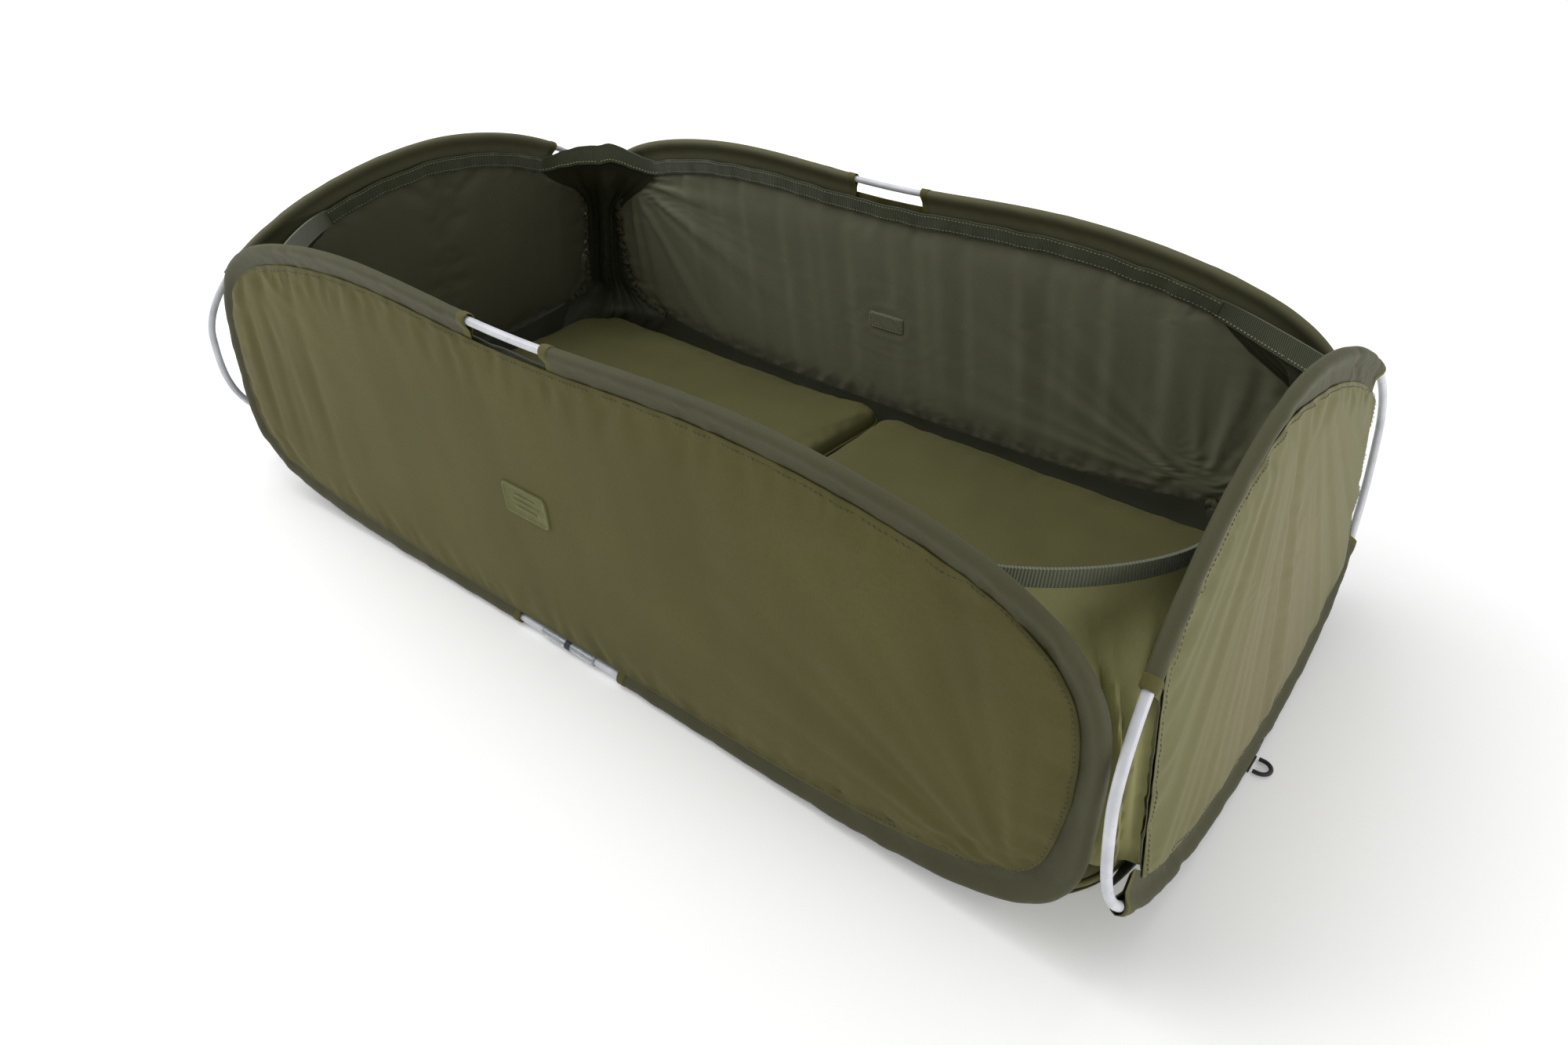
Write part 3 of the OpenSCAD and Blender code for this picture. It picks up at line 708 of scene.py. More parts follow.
def sleeve_half(inward, radius=SLEEVE_R):
    """Half the sleeve's thickness at a distance inside the hoop: round at the tube, then a flat tail."""
    round_part = np.sqrt(np.maximum(radius * radius - np.minimum(inward, 0) ** 2, 0))
    taper = 1.1 * MM + (radius - 1.1 * MM) * (0.5 + 0.5 * np.cos(np.pi * np.clip(inward / (12 * MM), 0, 1)))
    return np.where(inward < 0, round_part, taper)


def build_sleeve(wall, where, span, replaced):
    inward, half = sleeve_section(SLEEVE_R, SLEEVE_TAIL)
    a, run = wall.angles(span[0], span[1], 3.6 * MM)
    seed = 11 * len(wall.name) + len(where) + 3 * WALLS.index(wall)
    outline = np.concatenate([np.stack([inward, half], -1), np.stack([inward, -half], -1)[-2:0:-1]])
    inner = np.concatenate([np.stack([inward, half - 0.7 * MM], -1), np.stack([inward, 0.7 * MM - half], -1)[-2:0:-1]])
    inner[:, 0] = np.clip(inner[:, 0], -SLEEVE_R + 0.7 * MM, SLEEVE_TAIL - 1 * MM)
    toward_tail = np.clip((outline[:, 0] + SLEEVE_R) / (SLEEVE_TAIL + SLEEVE_R), 0, 1)
    lively = 0.6 + 0.9 * smooth(wander(run, 0.23, seed + 4), -0.2, 0.9)[:, None]
    pull = folds(run, 19 * MM, seed)[:, None] * (0.15 + toward_tail[None, :]) * 0.3 * MM
    slant = folds(run[:, None] + 1.5 * outline[None, :, 0], 52 * MM, seed + 1) * 0.75 * MM
    side = np.sign(outline[None, :, 1]) * (np.abs(outline[None, :, 1]) > 0)
    swell = (pull + slant) * lively * side * (0.4 + 0.6 * (side > 0))
    body = np.broadcast_to(outline, (len(a),) + outline.shape).copy()
    body[..., 1] += swell
    body[..., 0] += wander(run, 60 * MM, seed + 2)[:, None] * 0.5 * MM * toward_tail[None, :]
    core = np.broadcast_to(inner, body.shape).copy()
    core[..., 1] += swell
    points, faces = tube_mesh(wall.rings(a, body), False, wall.rings(a, core))
    around = perimeter(outline)
    cloth = along_cloth(run, around, 2)
    # The far and head walls' sleeves take the lighter copy of the sleeve cloth: painted light.
    material = sleeve_cloth_painted_light if wall in (FAR, HEAD) else sleeve_cloth
    piece = mesh_object(f"{wall.name}_sleeve_cloth_{where}", points, faces, material, cloth)
    crush(fit(piece, wall.body, replaced), wall)


def build_bands(wall):
    """The bound ends of both sleeves."""
    inward, half = sleeve_section(SLEEVE_R + 0.7 * MM, SLEEVE_TAIL + 1 * MM)
    outline = np.concatenate([np.stack([inward, half], -1), np.stack([inward, -half], -1)[-2:0:-1]])
    shrink = np.array([0.86, 0.97, 1, 1, 1, 0.97, 0.86])
    share = np.array([0, 0.08, 0.25, 0.5, 0.75, 0.92, 1])
    points, faces, cloth = [], [], []
    for start, end in sleeve_spans(wall).values():
        for at, way in ((start, -1), (end, 1)):
            a = at + way * (share * BAND_LENGTH - 1.2 * MM) / wall.pace(at)
            ring = outline[None] * np.stack([np.ones(7), shrink], -1)[:, None, :]
            core = ring * np.array([0.93, 0.80])
            new_points, new_faces = tube_mesh(wall.rings(a, ring), False, wall.rings(a, core), sum(map(len, points)))
            points.append(new_points)
            faces += new_faces
            cloth.append(along_cloth(share * BAND_LENGTH, perimeter(outline), 2))
    bands = mesh_object(wall.name + "_bands", np.concatenate(points), faces, band_cloth, np.concatenate(cloth))
    crush(fit(bands, wall.body, [wall.name + "_sleeve_bands"]), wall)


# ---- Padded walls ----
def inflate(points, faces, pinned, pressure, swell):
    """The points after the cloth has swelled under pressure, held at the pinned ones, moved by at most swell."""
    scene = bpy.context.scene
    mesh = bpy.data.meshes.new("sim")
    mesh.from_pydata(points.tolist(), [], [list(map(int, f)) for f in faces])
    bm = bmesh.new()
    bm.from_mesh(mesh)
    bmesh.ops.recalc_face_normals(bm, faces=bm.faces)
    bm.to_mesh(mesh)
    bm.free()
    blank = bpy.data.objects.new("sim", mesh)
    scene.collection.objects.link(blank)
    group = blank.vertex_groups.new(name="sewn")
    group.add([int(i) for i in pinned], 1.0, "REPLACE")
    cloth = blank.modifiers.new("cloth", "CLOTH")
    settings = cloth.settings
    settings.quality = 4
    settings.mass = 0.15
    settings.tension_stiffness = 20
    settings.compression_stiffness = 20
    settings.shear_stiffness = 8
    settings.bending_stiffness = 0.4
    settings.shrink_min = -0.012
    settings.use_pressure = True
    settings.uniform_pressure_force = pressure
    settings.vertex_group_mass = "sewn"
    settings.effector_weights.gravity = 0
    cloth.collision_settings.use_collision = False
    for number in range(1, 19):
        scene.frame_set(number)
    result = blank.evaluated_get(bpy.context.evaluated_depsgraph_get()).to_mesh()
    moved = np.array([v.co for v in result.vertices], float)
    bpy.data.objects.remove(blank)
    bpy.data.meshes.remove(mesh)
    scene.frame_set(1)
    step = moved - points
    length = np.linalg.norm(step, axis=1, keepdims=True)
    return points + step * (swell * np.tanh(length / swell) / np.maximum(length, 1e-9))


class Face:
    """One face of a padded wall: a square grid stretched over the wall's outline, in u and v."""

    def __init__(self, wall, s, t, inset):
        reach = np.maximum(np.abs(s), np.abs(t))
        self.wall, self.s, self.t = wall, s, t
        self.angle = np.arctan2(t, s)
        self.inset = inset(wall, self.angle)
        middle = np.array([0, wall.height * wall.mid])
        rim = wall.edge(self.angle, self.inset)
        share = 1 - (1 - reach) ** 1.12
        self.u, self.v = np.moveaxis(middle + share[..., None] * (rim - middle), -1, 0)
        self.rim = rim
        self.depth = np.hypot(rim[..., 0] - self.u, rim[..., 1] - self.v)

    def flat(self):
        """Flat size and flat area of the cut."""
        edge = border(np.arange(self.u.size).reshape(self.u.shape))
        x, y = self.u.ravel()[edge], self.v.ravel()[edge]
        area = 0.5 * abs(np.sum(x * np.roll(y, -1) - y * np.roll(x, -1)))
        return (float(np.ptp(x)), float(np.ptp(y))), float(area)


def liner_inset(wall, a):
    return PANEL_INSET + 0 * a


def panel_faces(wall, columns, rows):
    """The outer and the liner face, sewn together round the rim, blown up and set in the frame."""
    s, t = np.meshgrid(np.linspace(-1, 1, columns), np.linspace(-1, 1, rows), indexing="ij")
    liner = Face(wall, s, t, liner_inset)
    outer = Face(wall, s, t, outer_inset)
    seam = smooth(np.abs(liner.u), 0, 16 * MM) if not wall.lengthwise else np.ones(s.shape)
    swell = PAD_HALF * np.sqrt(np.clip(liner.depth / (14 * MM), 0, 1)) * (0.45 + 0.55 * seam)
    front = np.arange(s.size).reshape(s.shape)
    back = front.copy()
    inside = np.zeros(s.shape, bool)
    inside[1:-1, 1:-1] = True
    back[inside] = s.size + np.arange(inside.sum())
    ahead = wall.place(liner.u, liner.v, swell)
    behind = wall.place(liner.u, liner.v, -swell)
    points = np.concatenate([ahead.reshape(-1, 3), behind[inside]])
    sewn = set(border(front).tolist())
    if not wall.lengthwise:
        middle = columns // 2
        sewn |= set(front[middle].tolist()) | set(back[middle].tolist())
    faces = np.concatenate([quads(front), quads(back)[:, ::-1]])
    points = inflate(points, faces, sorted(sewn), 2.5, PAD_SWELL)
    over_sleeve = (sleeve_half(outer.inset) + 1.2 * MM) * np.exp(-outer.depth / (16 * MM))
    outer.points = wall.place(outer.u, outer.v, swell + over_sleeve) + points[front] - ahead
    liner.points = points[back]
    outer.room = swell
    liner.room = swell
    return outer, liner


def edge_puckers(face, seed, size=1.5 * MM, pitch=24 * MM, depth=20 * MM):
    """Short gathers that run in from the sewn edge."""
    run = np.where(np.abs(face.s) > np.abs(face.t), face.rim[..., 1], face.rim[..., 0])
    fade = np.exp(-face.depth / depth) * smooth(face.depth, 0, 4 * MM)
    return size * folds(run, pitch, seed) * fade * 1.8


def long_folds(face, seed, pitch, size, slant=0.0, start=0.0):
    """Soft folds that hang down the wall and fade towards its lower edge."""
    across = face.u + slant * (face.v - face.wall.height)
    fade = smooth(face.v / face.wall.height, start, start + 0.5) * smooth(face.depth, 0, 25 * MM)
    return size * folds(across, pitch, seed) * (0.25 + 0.75 * fade)


def corner_folds(face, corner, seed, size, pitch, length):
    """Tension folds that fan out from a corner of the panel."""
    du, dv = face.u - corner[0], face.v - corner[1]
    far = np.hypot(du, dv)
    around = np.arctan2(dv, du)
    fade = np.exp(-far / length) * smooth(far, 8 * MM, 50 * MM) * smooth(face.depth, 0, 10 * MM)
    return size * folds(around * 0.12, pitch, seed) * fade


def calm(face, place, reach):
    """0 at a badge and 1 away from it."""
    return 1 - np.exp(-(((face.u - place[0]) ** 2 + 2 * (face.v - place[1]) ** 2) / reach**2) ** 1.5)


def build_panel(wall, columns, rows, outer_moves, liner_moves, materials, slots):
    """Both cloths of a wall, each a closed sheet with its folds and one round of smoothing."""
    outer, liner = panel_faces(wall, columns, rows)
    for face, moves, way in ((outer, outer_moves, 1), (liner, liner_moves, -1)):
        by = np.maximum(moves(face), -0.6 * face.room)
        face.points = wall.push(face.points, way * by)
    plan = (
        (outer, "outer", materials[0], slots[0], ["outer_cloth", "foam"]),
        (liner, "liner", materials[1], slots[1], ["liner"]),
    )
    for face, what, material, slot, replaced in plan:
        outward = wall.place(0, 0, 1.0) - wall.place(0, 0, 0.0)
        facing = float((grid_normals(face.points) * outward).sum(-1).mean()) > 0
        cloth = np.stack([face.u, face.v, 0 * face.u], -1)
        flip = facing != (what == "outer")
        piece = thick_sheet(f"{wall.name}_panel_{what}", face.points, CLOTH, material, cloth, 1, flip)
        fit(piece, wall.body, [f"{wall.name}_{r}" for r in replaced])
        crush(piece, wall)
        flat, area = face.flat()
    return outer, liner


NEAR_BADGE = (-13 * MM, 171 * MM)
FAR_BADGE = (-4 * MM, 160 * MM)


def near_outer(face):
    moves = long_folds(face, 5, 120 * MM, 0.8 * MM, 0.12)
    moves = moves + long_folds(face, 11, 60 * MM, 2.2 * MM, 0.05) * smooth(-face.u, 0.28, 0.42)
    moves = moves + corner_folds(face, (-0.46, 0.31), 7, 1.8 * MM, 46 * MM, 0.10)
    moves = moves + corner_folds(face, (0.50, 0.05), 8, 3.6 * MM, 44 * MM, 0.18)
    moves = moves + corner_folds(face, (0.44, 0.30), 9, 1.6 * MM, 44 * MM, 0.10)
    return moves * calm(face, NEAR_BADGE, 55 * MM) + edge_puckers(face, 6, 1.3 * MM)


def far_outer(face):
    moves = long_folds(face, 15, 90 * MM, 1.5 * MM, -0.2) + edge_puckers(face, 16, 1.3 * MM)
    moves = moves + corner_folds(face, (0.46, 0.05), 17, 4 * MM, 40 * MM, 0.14)
    moves = moves + corner_folds(face, (-0.46, 0.30), 18, 4 * MM, 36 * MM, 0.12)
    return moves * calm(face, FAR_BADGE, 55 * MM)


def badge_pucker(face, place, seed):
    du, dv = face.u - place[0], face.v - place[1]
    near = np.exp(-((du / 0.06) ** 2 + (dv / 0.04) ** 2))
    return wander(np.hypot(du, 1.6 * dv), 19 * MM, seed) * near * 1.1 * MM


def far_liner(face):
    stripes = long_folds(face, 21, 62 * MM, 2.6 * MM, 0.06, 0.1) * calm(face, FAR_BADGE, 45 * MM)
    head_end = corner_folds(face, (-0.47, 0.26), 25, 6 * MM, 34 * MM, 0.12)
    bottom = corner_folds(face, (0.42, 0.06), 23, 4 * MM, 36 * MM, 0.16)
    edges = edge_puckers(face, 24, 1.9 * MM, 21 * MM, 24 * MM)
    return stripes + head_end + bottom + badge_pucker(face, FAR_BADGE, 22) + edges


def near_liner(face):
    stripes = long_folds(face, 31, 70 * MM, 2.1 * MM, -0.05, 0.1) * calm(face, NEAR_BADGE, 45 * MM)
    edges = edge_puckers(face, 32, 1.8 * MM, 22 * MM, 24 * MM)
    return stripes + badge_pucker(face, NEAR_BADGE, 33) + edges


def end_outer(face, seed, size):
    """Tight folds that fan down from the kink at the hoop's top middle."""
    du, dv = face.u, face.wall.height + 0.05 - face.v
    around = np.arctan2(du, dv)
    far = np.hypot(du, dv)
    fade = smooth(far, 0.06, 0.20) * smooth(face.depth, 0, 16 * MM)
    fan = folds(around * 0.30, 46 * MM, seed, 0.2) * fade
    fine = folds(around * 0.30, 19 * MM, seed + 1, 0.2) * fade * smooth(wander(around, 0.9, seed + 3), 0, 0.8)
    near_side = 0.55 + 0.45 * smooth(-face.u, -0.05, 0.1)
    edges = edge_puckers(face, seed + 2, 0.8 * MM, 34 * MM)
    return size * (3.0 * MM * fan + 1.0 * MM * fine) * near_side + edges


def foot_outer(face):
    return end_outer(face, 41, 1.0)


def head_outer(face):
    return end_outer(face, 51, 0.8)


def end_liner(face):
    seam = np.exp(-np.abs(face.u) / (9 * MM))
    soft = long_folds(face, 61, 80 * MM, 1.1 * MM, 0.0, 0.0)
    return soft - 1.2 * MM * seam + edge_puckers(face, 62, 1.5 * MM, 20 * MM, 18 * MM)


# ---- Rim webbing ----
def tape_section(width, thick):
    """Flat tape with round edges, as [inward, outward] from its near edge and outer face."""
    return np.array([
        [0, 0.3], [0.02, 0.0], [0.10, -0.05], [0.3, 0], [0.5, 0.04], [0.7, 0], [0.90, -0.05], [0.98, 0], [1, 0.3],
        [1, 0.7], [0.98, 1], [0.7, 1], [0.5, 1.04], [0.3, 1], [0.02, 1], [0, 0.7],
    ]) * np.array([width, -thick])


def build_tape(wall):
    start = math.radians(TAPE_START[wall.lengthwise])
    a, run = wall.angles(start, math.pi - start, 4 * MM)
    seed = 70 + WALLS.index(wall)
    section = tape_section(TAPE_WIDTH, 1.7 * MM)
    ring = np.broadcast_to(section, (len(a),) + section.shape).copy()
    ring[..., 0] += TAPE_INSET + wander(run, 70 * MM, seed)[:, None] * 0.9 * MM
    low_edge = section[:, 0] / TAPE_WIDTH
    sway = wander(run, 36 * MM, seed + 9)[:, None] * low_edge[None, :] * 1.0 * MM
    ring[..., 1] += -TAPE_FACE + 0.6 * MM * wander(run, 90 * MM, seed + 5)[:, None] + sway
    points, faces = tube_mesh(wall.rings(a, ring))
    cloth = along_cloth(run, perimeter(section))
    tape = mesh_object(wall.name + "_rim_tape", points, faces, tape_webbing, cloth)
    crush(fit(tape, wall.body, [wall.name + "_rim_webbing"]), wall)
    for inset, label in ((3.2 * MM, "upper"), (TAPE_WIDTH - 3.2 * MM, "lower")):
        line = np.zeros((len(a), 1, 2))
        line[:, 0, 0] = TAPE_INSET + inset + wander(run, 70 * MM, seed) * 0.9 * MM
        line[:, 0, 1] = -TAPE_FACE - 1.8 * MM + 0.6 * MM * wander(run, 90 * MM, seed + 5)
        line[:, 0, 1] += wander(run, 36 * MM, seed + 9) * inset / TAPE_WIDTH * 1.0 * MM
        path = wall.rings(a, line)[:, 0]
        face_way = wall.place(0, 0, 0.0) - wall.place(0, 0, 1.0)
        up = np.broadcast_to(face_way, path.shape)
        row = stitches(f"{wall.name}_tape_stitch_{label}", path, up, light_thread)
        crush(fit(row, wall.body), wall)


def seam_stitches(face):
    """The thread line just inside a panel's edge on its outer face."""
    wall = face.wall
    ring = border(np.arange(face.u.size).reshape(face.u.shape)[1:-1, 1:-1])
    line = face.points.reshape(-1, 3)[ring]
    path = np.concatenate([line, line[:1]])
    up = np.broadcast_to(wall.place(0, 0, 1.0) - wall.place(0, 0, 0.0), path.shape)
    row = stitches(wall.name + "_seam_stitch", wall.push(path, 0.15 * MM), up, dark_thread)
    crush(fit(row, wall.body), wall)


for wall in WALLS:
    build_hoop(wall)
    build_joiner(wall)
    spans = sleeve_spans(wall)
    for where, span in spans.items():
        build_sleeve(wall, where, span, [f"{wall.name}_sleeve_{where}"])
    build_bands(wall)
    build_tape(wall)

PANELS = {
    "near": (NEAR, 165, 55, near_outer, near_liner, (outer_cloth, liner_cloth), ("outer_fabric", "liner_fabric")),
    "far": (FAR, 165, 55, far_outer, far_liner, (outer_cloth, liner_cloth), ("outer_fabric", "liner_fabric")),
    # The head wall's liner takes the darker copy of the liner cloth: painted shade.
    "head": (HEAD, 91, 55, head_outer, end_liner, (end_cloth, liner_cloth_painted_shade), ("end_fabric", "liner_fabric")),
    "foot": (FOOT, 91, 55, foot_outer, end_liner, (end_cloth, liner_cloth), ("end_fabric", "liner_fabric")),
}
FACES = {name: build_panel(*plan) for name, plan in PANELS.items()}
for outer_face, liner_face in FACES.values():
    seam_stitches(outer_face)


# ---- Mat ----
MAT_LOW, MAT_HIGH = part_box("mat_foot_cover")
MAT_MID = (MAT_LOW.z + MAT_HIGH.z) / 2
MAT_HALF = (MAT_HIGH.z - MAT_LOW.z) / 2


def mat_plan(s, t, x_far, half_y):
    """Plan of a mat half from a square grid, with round corners, wide ones at the far end."""
    reach = np.maximum(np.maximum(np.abs(s), np.abs(t)), 1e-9)
    x0 = 1.5 * MM
    middle = np.array([(x0 + x_far) / 2, 0.0])
    rim = np.stack([middle[0] + s / reach * (x_far - x0) / 2, t / reach * half_y], -1)
    for corner_x, radius, way in ((x_far, 62 * MM, 1), (x0, 26 * MM, -1)):
        cx, cy = corner_x - way * radius, half_y - radius
        dx, dy = (rim[..., 0] - cx) * way, np.abs(rim[..., 1]) - cy
        inside = (dx > 0) & (dy > 0)
        long = np.maximum(np.hypot(dx, dy), 1e-9)
        rim[..., 0] = np.where(inside, cx + way * dx / long * radius, rim[..., 0])
        rim[..., 1] = np.where(inside, np.sign(rim[..., 1]) * (cy + dy / long * radius), rim[..., 1])
    share = (1 - (1 - reach) ** 1.35)[..., None]
    plan = middle + share * (rim - middle)
    return plan, np.linalg.norm(rim - plan, axis=-1)


def build_mat(name, way, body, seed, replaced):
    """One half of the mat: two quilted faces over foam, piped round its edge."""
    x_far = MAT_HIGH.x - 4 * MM
    half_y = MAT_HIGH.y - 3 * MM
    s, t = np.meshgrid(np.linspace(-1, 1, 97), np.linspace(-1, 1, 97), indexing="ij")
    plan, depth = mat_plan(s, t, x_far, half_y)
    curve = np.clip(depth / (19 * MM), 0, 1)
    half = (MAT_HALF - 3 * MM) * (1 - (1 - curve) ** 2.6) ** (1 / 2.6)
    count = s.size
    front = np.arange(count).reshape(s.shape)
    back = front.copy()
    inside = np.zeros(s.shape, bool)
    inside[1:-1, 1:-1] = True
    back[inside] = count + np.arange(inside.sum())
    above = np.stack([way * plan[..., 0], plan[..., 1], MAT_MID + half], -1)
    below = np.stack([way * plan[..., 0], plan[..., 1], MAT_MID - half], -1)
    points = np.concatenate([above.reshape(-1, 3), below[inside]])
    faces = np.concatenate([quads(front), quads(back)[:, ::-1]])
    points = inflate(points, faces, sorted(set(border(front).tolist())), 2.5, 3.2 * MM)
    x, y = plan[..., 0], plan[..., 1]
    soft = 0.9 * MM * wander(x + 0.5 * y, 0.19, seed) + 0.8 * MM * wander(y - 0.35 * x, 0.15, seed + 1)
    near_edge = np.exp(-depth / (34 * MM)) * smooth(depth, 2 * MM, 14 * MM)
    run = np.where(np.abs(s) > np.abs(t), y, x)
    gathers = 1.9 * MM * folds(run, 46 * MM, seed + 2) * near_edge
    lift = np.zeros_like(x)
    if way < 0:
        lift = 8 * MM * np.exp(-x / 0.06) * smooth(0.30 - np.abs(y), 0, 0.2)
    else:
        lift = -4.5 * MM * np.exp(-x / 0.09)
    top = points[front]
    top[..., 2] += soft + gathers + lift
    top[..., 2] = np.where(depth > 0, top[..., 2], MAT_MID + lift * 0.4)
    points[front.ravel()] = top.reshape(-1, 3)
    points[:, 2] = np.maximum(points[:, 2], MAT_LOW.z)
    plan3 = np.stack([x, y, 0 * x], -1)
    cloth = np.concatenate([plan3.reshape(-1, 3), plan3[inside]])
    mat = mesh_object(name, points, [tuple(f) for f in faces], mat_cloth, cloth, 1)
    pieces = [fit(mat, body, replaced)]
    rim = border(front)
    path = points[rim]
    middle = path.mean(0)
    outward = unit((path - middle) * np.array([1, 1, 0]))
    radius = 2.1 * MM
    around = circle(radius, 8)
    ring = path[:, None, :] + outward[:, None, :] * (around[:, 0] + 0.3 * MM)[None, :, None]
    ring = ring + np.array([0, 0, 1.0]) * around[:, 1][None, :, None]
    piping_points, piping_faces = tube_mesh(ring, True)
    steps = np.concatenate([[0], np.cumsum(np.linalg.norm(np.diff(path, axis=0), axis=1))])
    piping = mesh_object(name + "_piping", piping_points, piping_faces, mat_cloth, along_cloth(steps, perimeter(around)))
    pieces.append(fit(piping, body))
    for piece in pieces:
        if way < 0:
            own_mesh(piece)


build_mat("mat_foot", 1, "base", 81, ["mat_foot_cover", "mat_foot_foam"])
build_mat("mat_head", -1, "mat_head", 91, ["mat_head_cover", "mat_head_foam"])


# ---- Ground sheet ----
SHEET_LONG = 555 * MM


def build_ground_sheet():
    high = Vector((SHEET_LONG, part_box("floor_panel")[1].y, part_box("floor_panel")[1].z))
    s, t = np.meshgrid(np.linspace(-1, 1, 111), np.linspace(-1, 1, 61), indexing="ij")
    radius = 105 * MM
    reach = np.maximum(np.maximum(np.abs(s), np.abs(t)), 1e-9)
    rim = np.stack([s / reach * high.x, t / reach * high.y], -1)
    dx, dy = np.abs(rim[..., 0]) - high.x + radius, np.abs(rim[..., 1]) - high.y + radius
    corner = (dx > 0) & (dy > 0)
    long = np.maximum(np.hypot(dx, dy), 1e-9)
    rim[..., 0] = np.where(corner, np.sign(rim[..., 0]) * (high.x - radius + dx / long * radius), rim[..., 0])
    rim[..., 1] = np.where(corner, np.sign(rim[..., 1]) * (high.y - radius + dy / long * radius), rim[..., 1])
    plan = reach[..., None] * rim
    depth = np.linalg.norm(rim - plan, axis=-1)
    ripple = 0.25 * MM * wander(plan[..., 0] + 0.6 * plan[..., 1], 90 * MM, 101)
    z = high.z - 0.3 * MM + ripple * smooth(depth, 0, 20 * MM)
    points = np.concatenate([plan, z[..., None]], -1)
    cloth = np.concatenate([plan, 0 * z[..., None]], -1)
    sheet = thick_sheet("ground_sheet", points, 1.4 * MM, outer_cloth, cloth)
    fit(sheet, "base", ["floor_panel"])


def build_peg_tab(name, way):
    """The webbing tab that ties a peg loop to the ground sheet, under the end wall's sleeve."""
    low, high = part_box("floor_panel")
    loop_low, loop_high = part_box(name)
    across = np.linspace(-12 * MM, 12 * MM, 9) + (loop_low.y + loop_high.y) / 2
    along = np.linspace(SHEET_LONG - 6 * MM, high.x - 0.2 * MM, 19)
    x, y = np.meshgrid(along, across, indexing="ij")
    points = np.stack([way * x, y, 0 * x + 1.7 * MM], -1)
    cloth = np.stack([x, y, 0 * x], -1)
    tab = thick_sheet(name + "_tab", points, 1.2 * MM, tape_webbing, cloth, flip=way < 0)
    fit(tab, "base")


build_ground_sheet()
build_peg_tab("peg_loop_head", -1)
build_peg_tab("peg_loop_foot", 1)


# ---- Corners ----
GUSSET_LONG = (-48, 48)
GUSSET_END = (-52, 56)
CORNER_FACE = -2.6 * MM
STRAP_THICK = 2.4 * MM
CORNER_SAG = {"near_foot": 6, "near_head": 2, "far_foot": 2, "far_head": -20}


def corner_edge(wall, plus, share, spans, inset):
    """Points up a wall's inner face where a corner's cloth is sewn, on its +u or -u side."""
    a = np.radians(spans[0] + (spans[1] - spans[0]) * share)
    a = a if plus else math.pi - a
    p = wall.edge(a, inset)
    return wall.place(p[..., 0], p[..., 1], CORNER_FACE)


def strap_end(wall, plus, inset):
    """Where the rim webbing of a wall ends, at that inset from the hoop, and its level way on."""
    a = math.radians(TAPE_START[wall.lengthwise] + 0.5)
    a = a if plus else math.pi - a
    b = a + (-0.05 if plus else 0.05)
    p = wall.hoop(a) + inset * wall.inward(a)
    q = wall.hoop(b) + inset * wall.inward(b)
    here = wall.place(p[0], p[1], -TAPE_FACE)
    ahead = unit(wall.place(q[0], q[1], -TAPE_FACE) - here)
    return here, unit(ahead * np.array([1, 1, 0.3]))


def hermite(p, dp, q, dq, t):
    t = np.asarray(t)[:, None]
    a = 2 * t**3 - 3 * t**2 + 1
    b = t**3 - 2 * t**2 + t
    c = 3 * t**2 - 2 * t**3
    d = t**3 - t**2
    return a * p + b * dp + c * q + d * dq


def strap_lines(long_wall, end_wall, t):
    """Upper and lower edge of the webbing that crosses a corner, hanging or standing up at its middle."""
    sag = CORNER_SAG[f"{long_wall.name}_{end_wall.name}"] * MM
    lines = []
    for inset, more, droop in ((TAPE_INSET, 1.0, 0.0), (TAPE_INSET + TAPE_WIDTH, 1.0 if sag > 0 else 0.9, 5 * MM)):
        p, dp = strap_end(long_wall, end_wall.side > 0, inset)
        q, dq = strap_end(end_wall, long_wall.side > 0, inset)
        gap = float(np.linalg.norm(q - p))
        line = hermite(p, dp * gap * 0.5, q, -dq * gap * 0.5, t)
        peak = np.sin(np.pi * t) ** (1.5 if sag > 0 else 2.4)
        line[:, 2] -= sag * more * peak + droop * np.sin(np.pi * t)
        if sag < 0:
            line[:, 2] += 3 * MM * wander(t, 0.34, 161) * peak
        lines.append(line)
    return lines


def corner_foot(long_wall, end_wall, t):
    """The line on the ground round the mat's corner, from the long wall to the end wall."""
    radius = 100 * MM
    x = MAT_HIGH.x - radius + radius * np.sin(t * math.pi / 2)
    y = MAT_HIGH.y - radius + radius * np.cos(t * math.pi / 2)
    return np.stack([end_wall.side * x, long_wall.side * y, 0 * t + 3.0 * MM], -1)


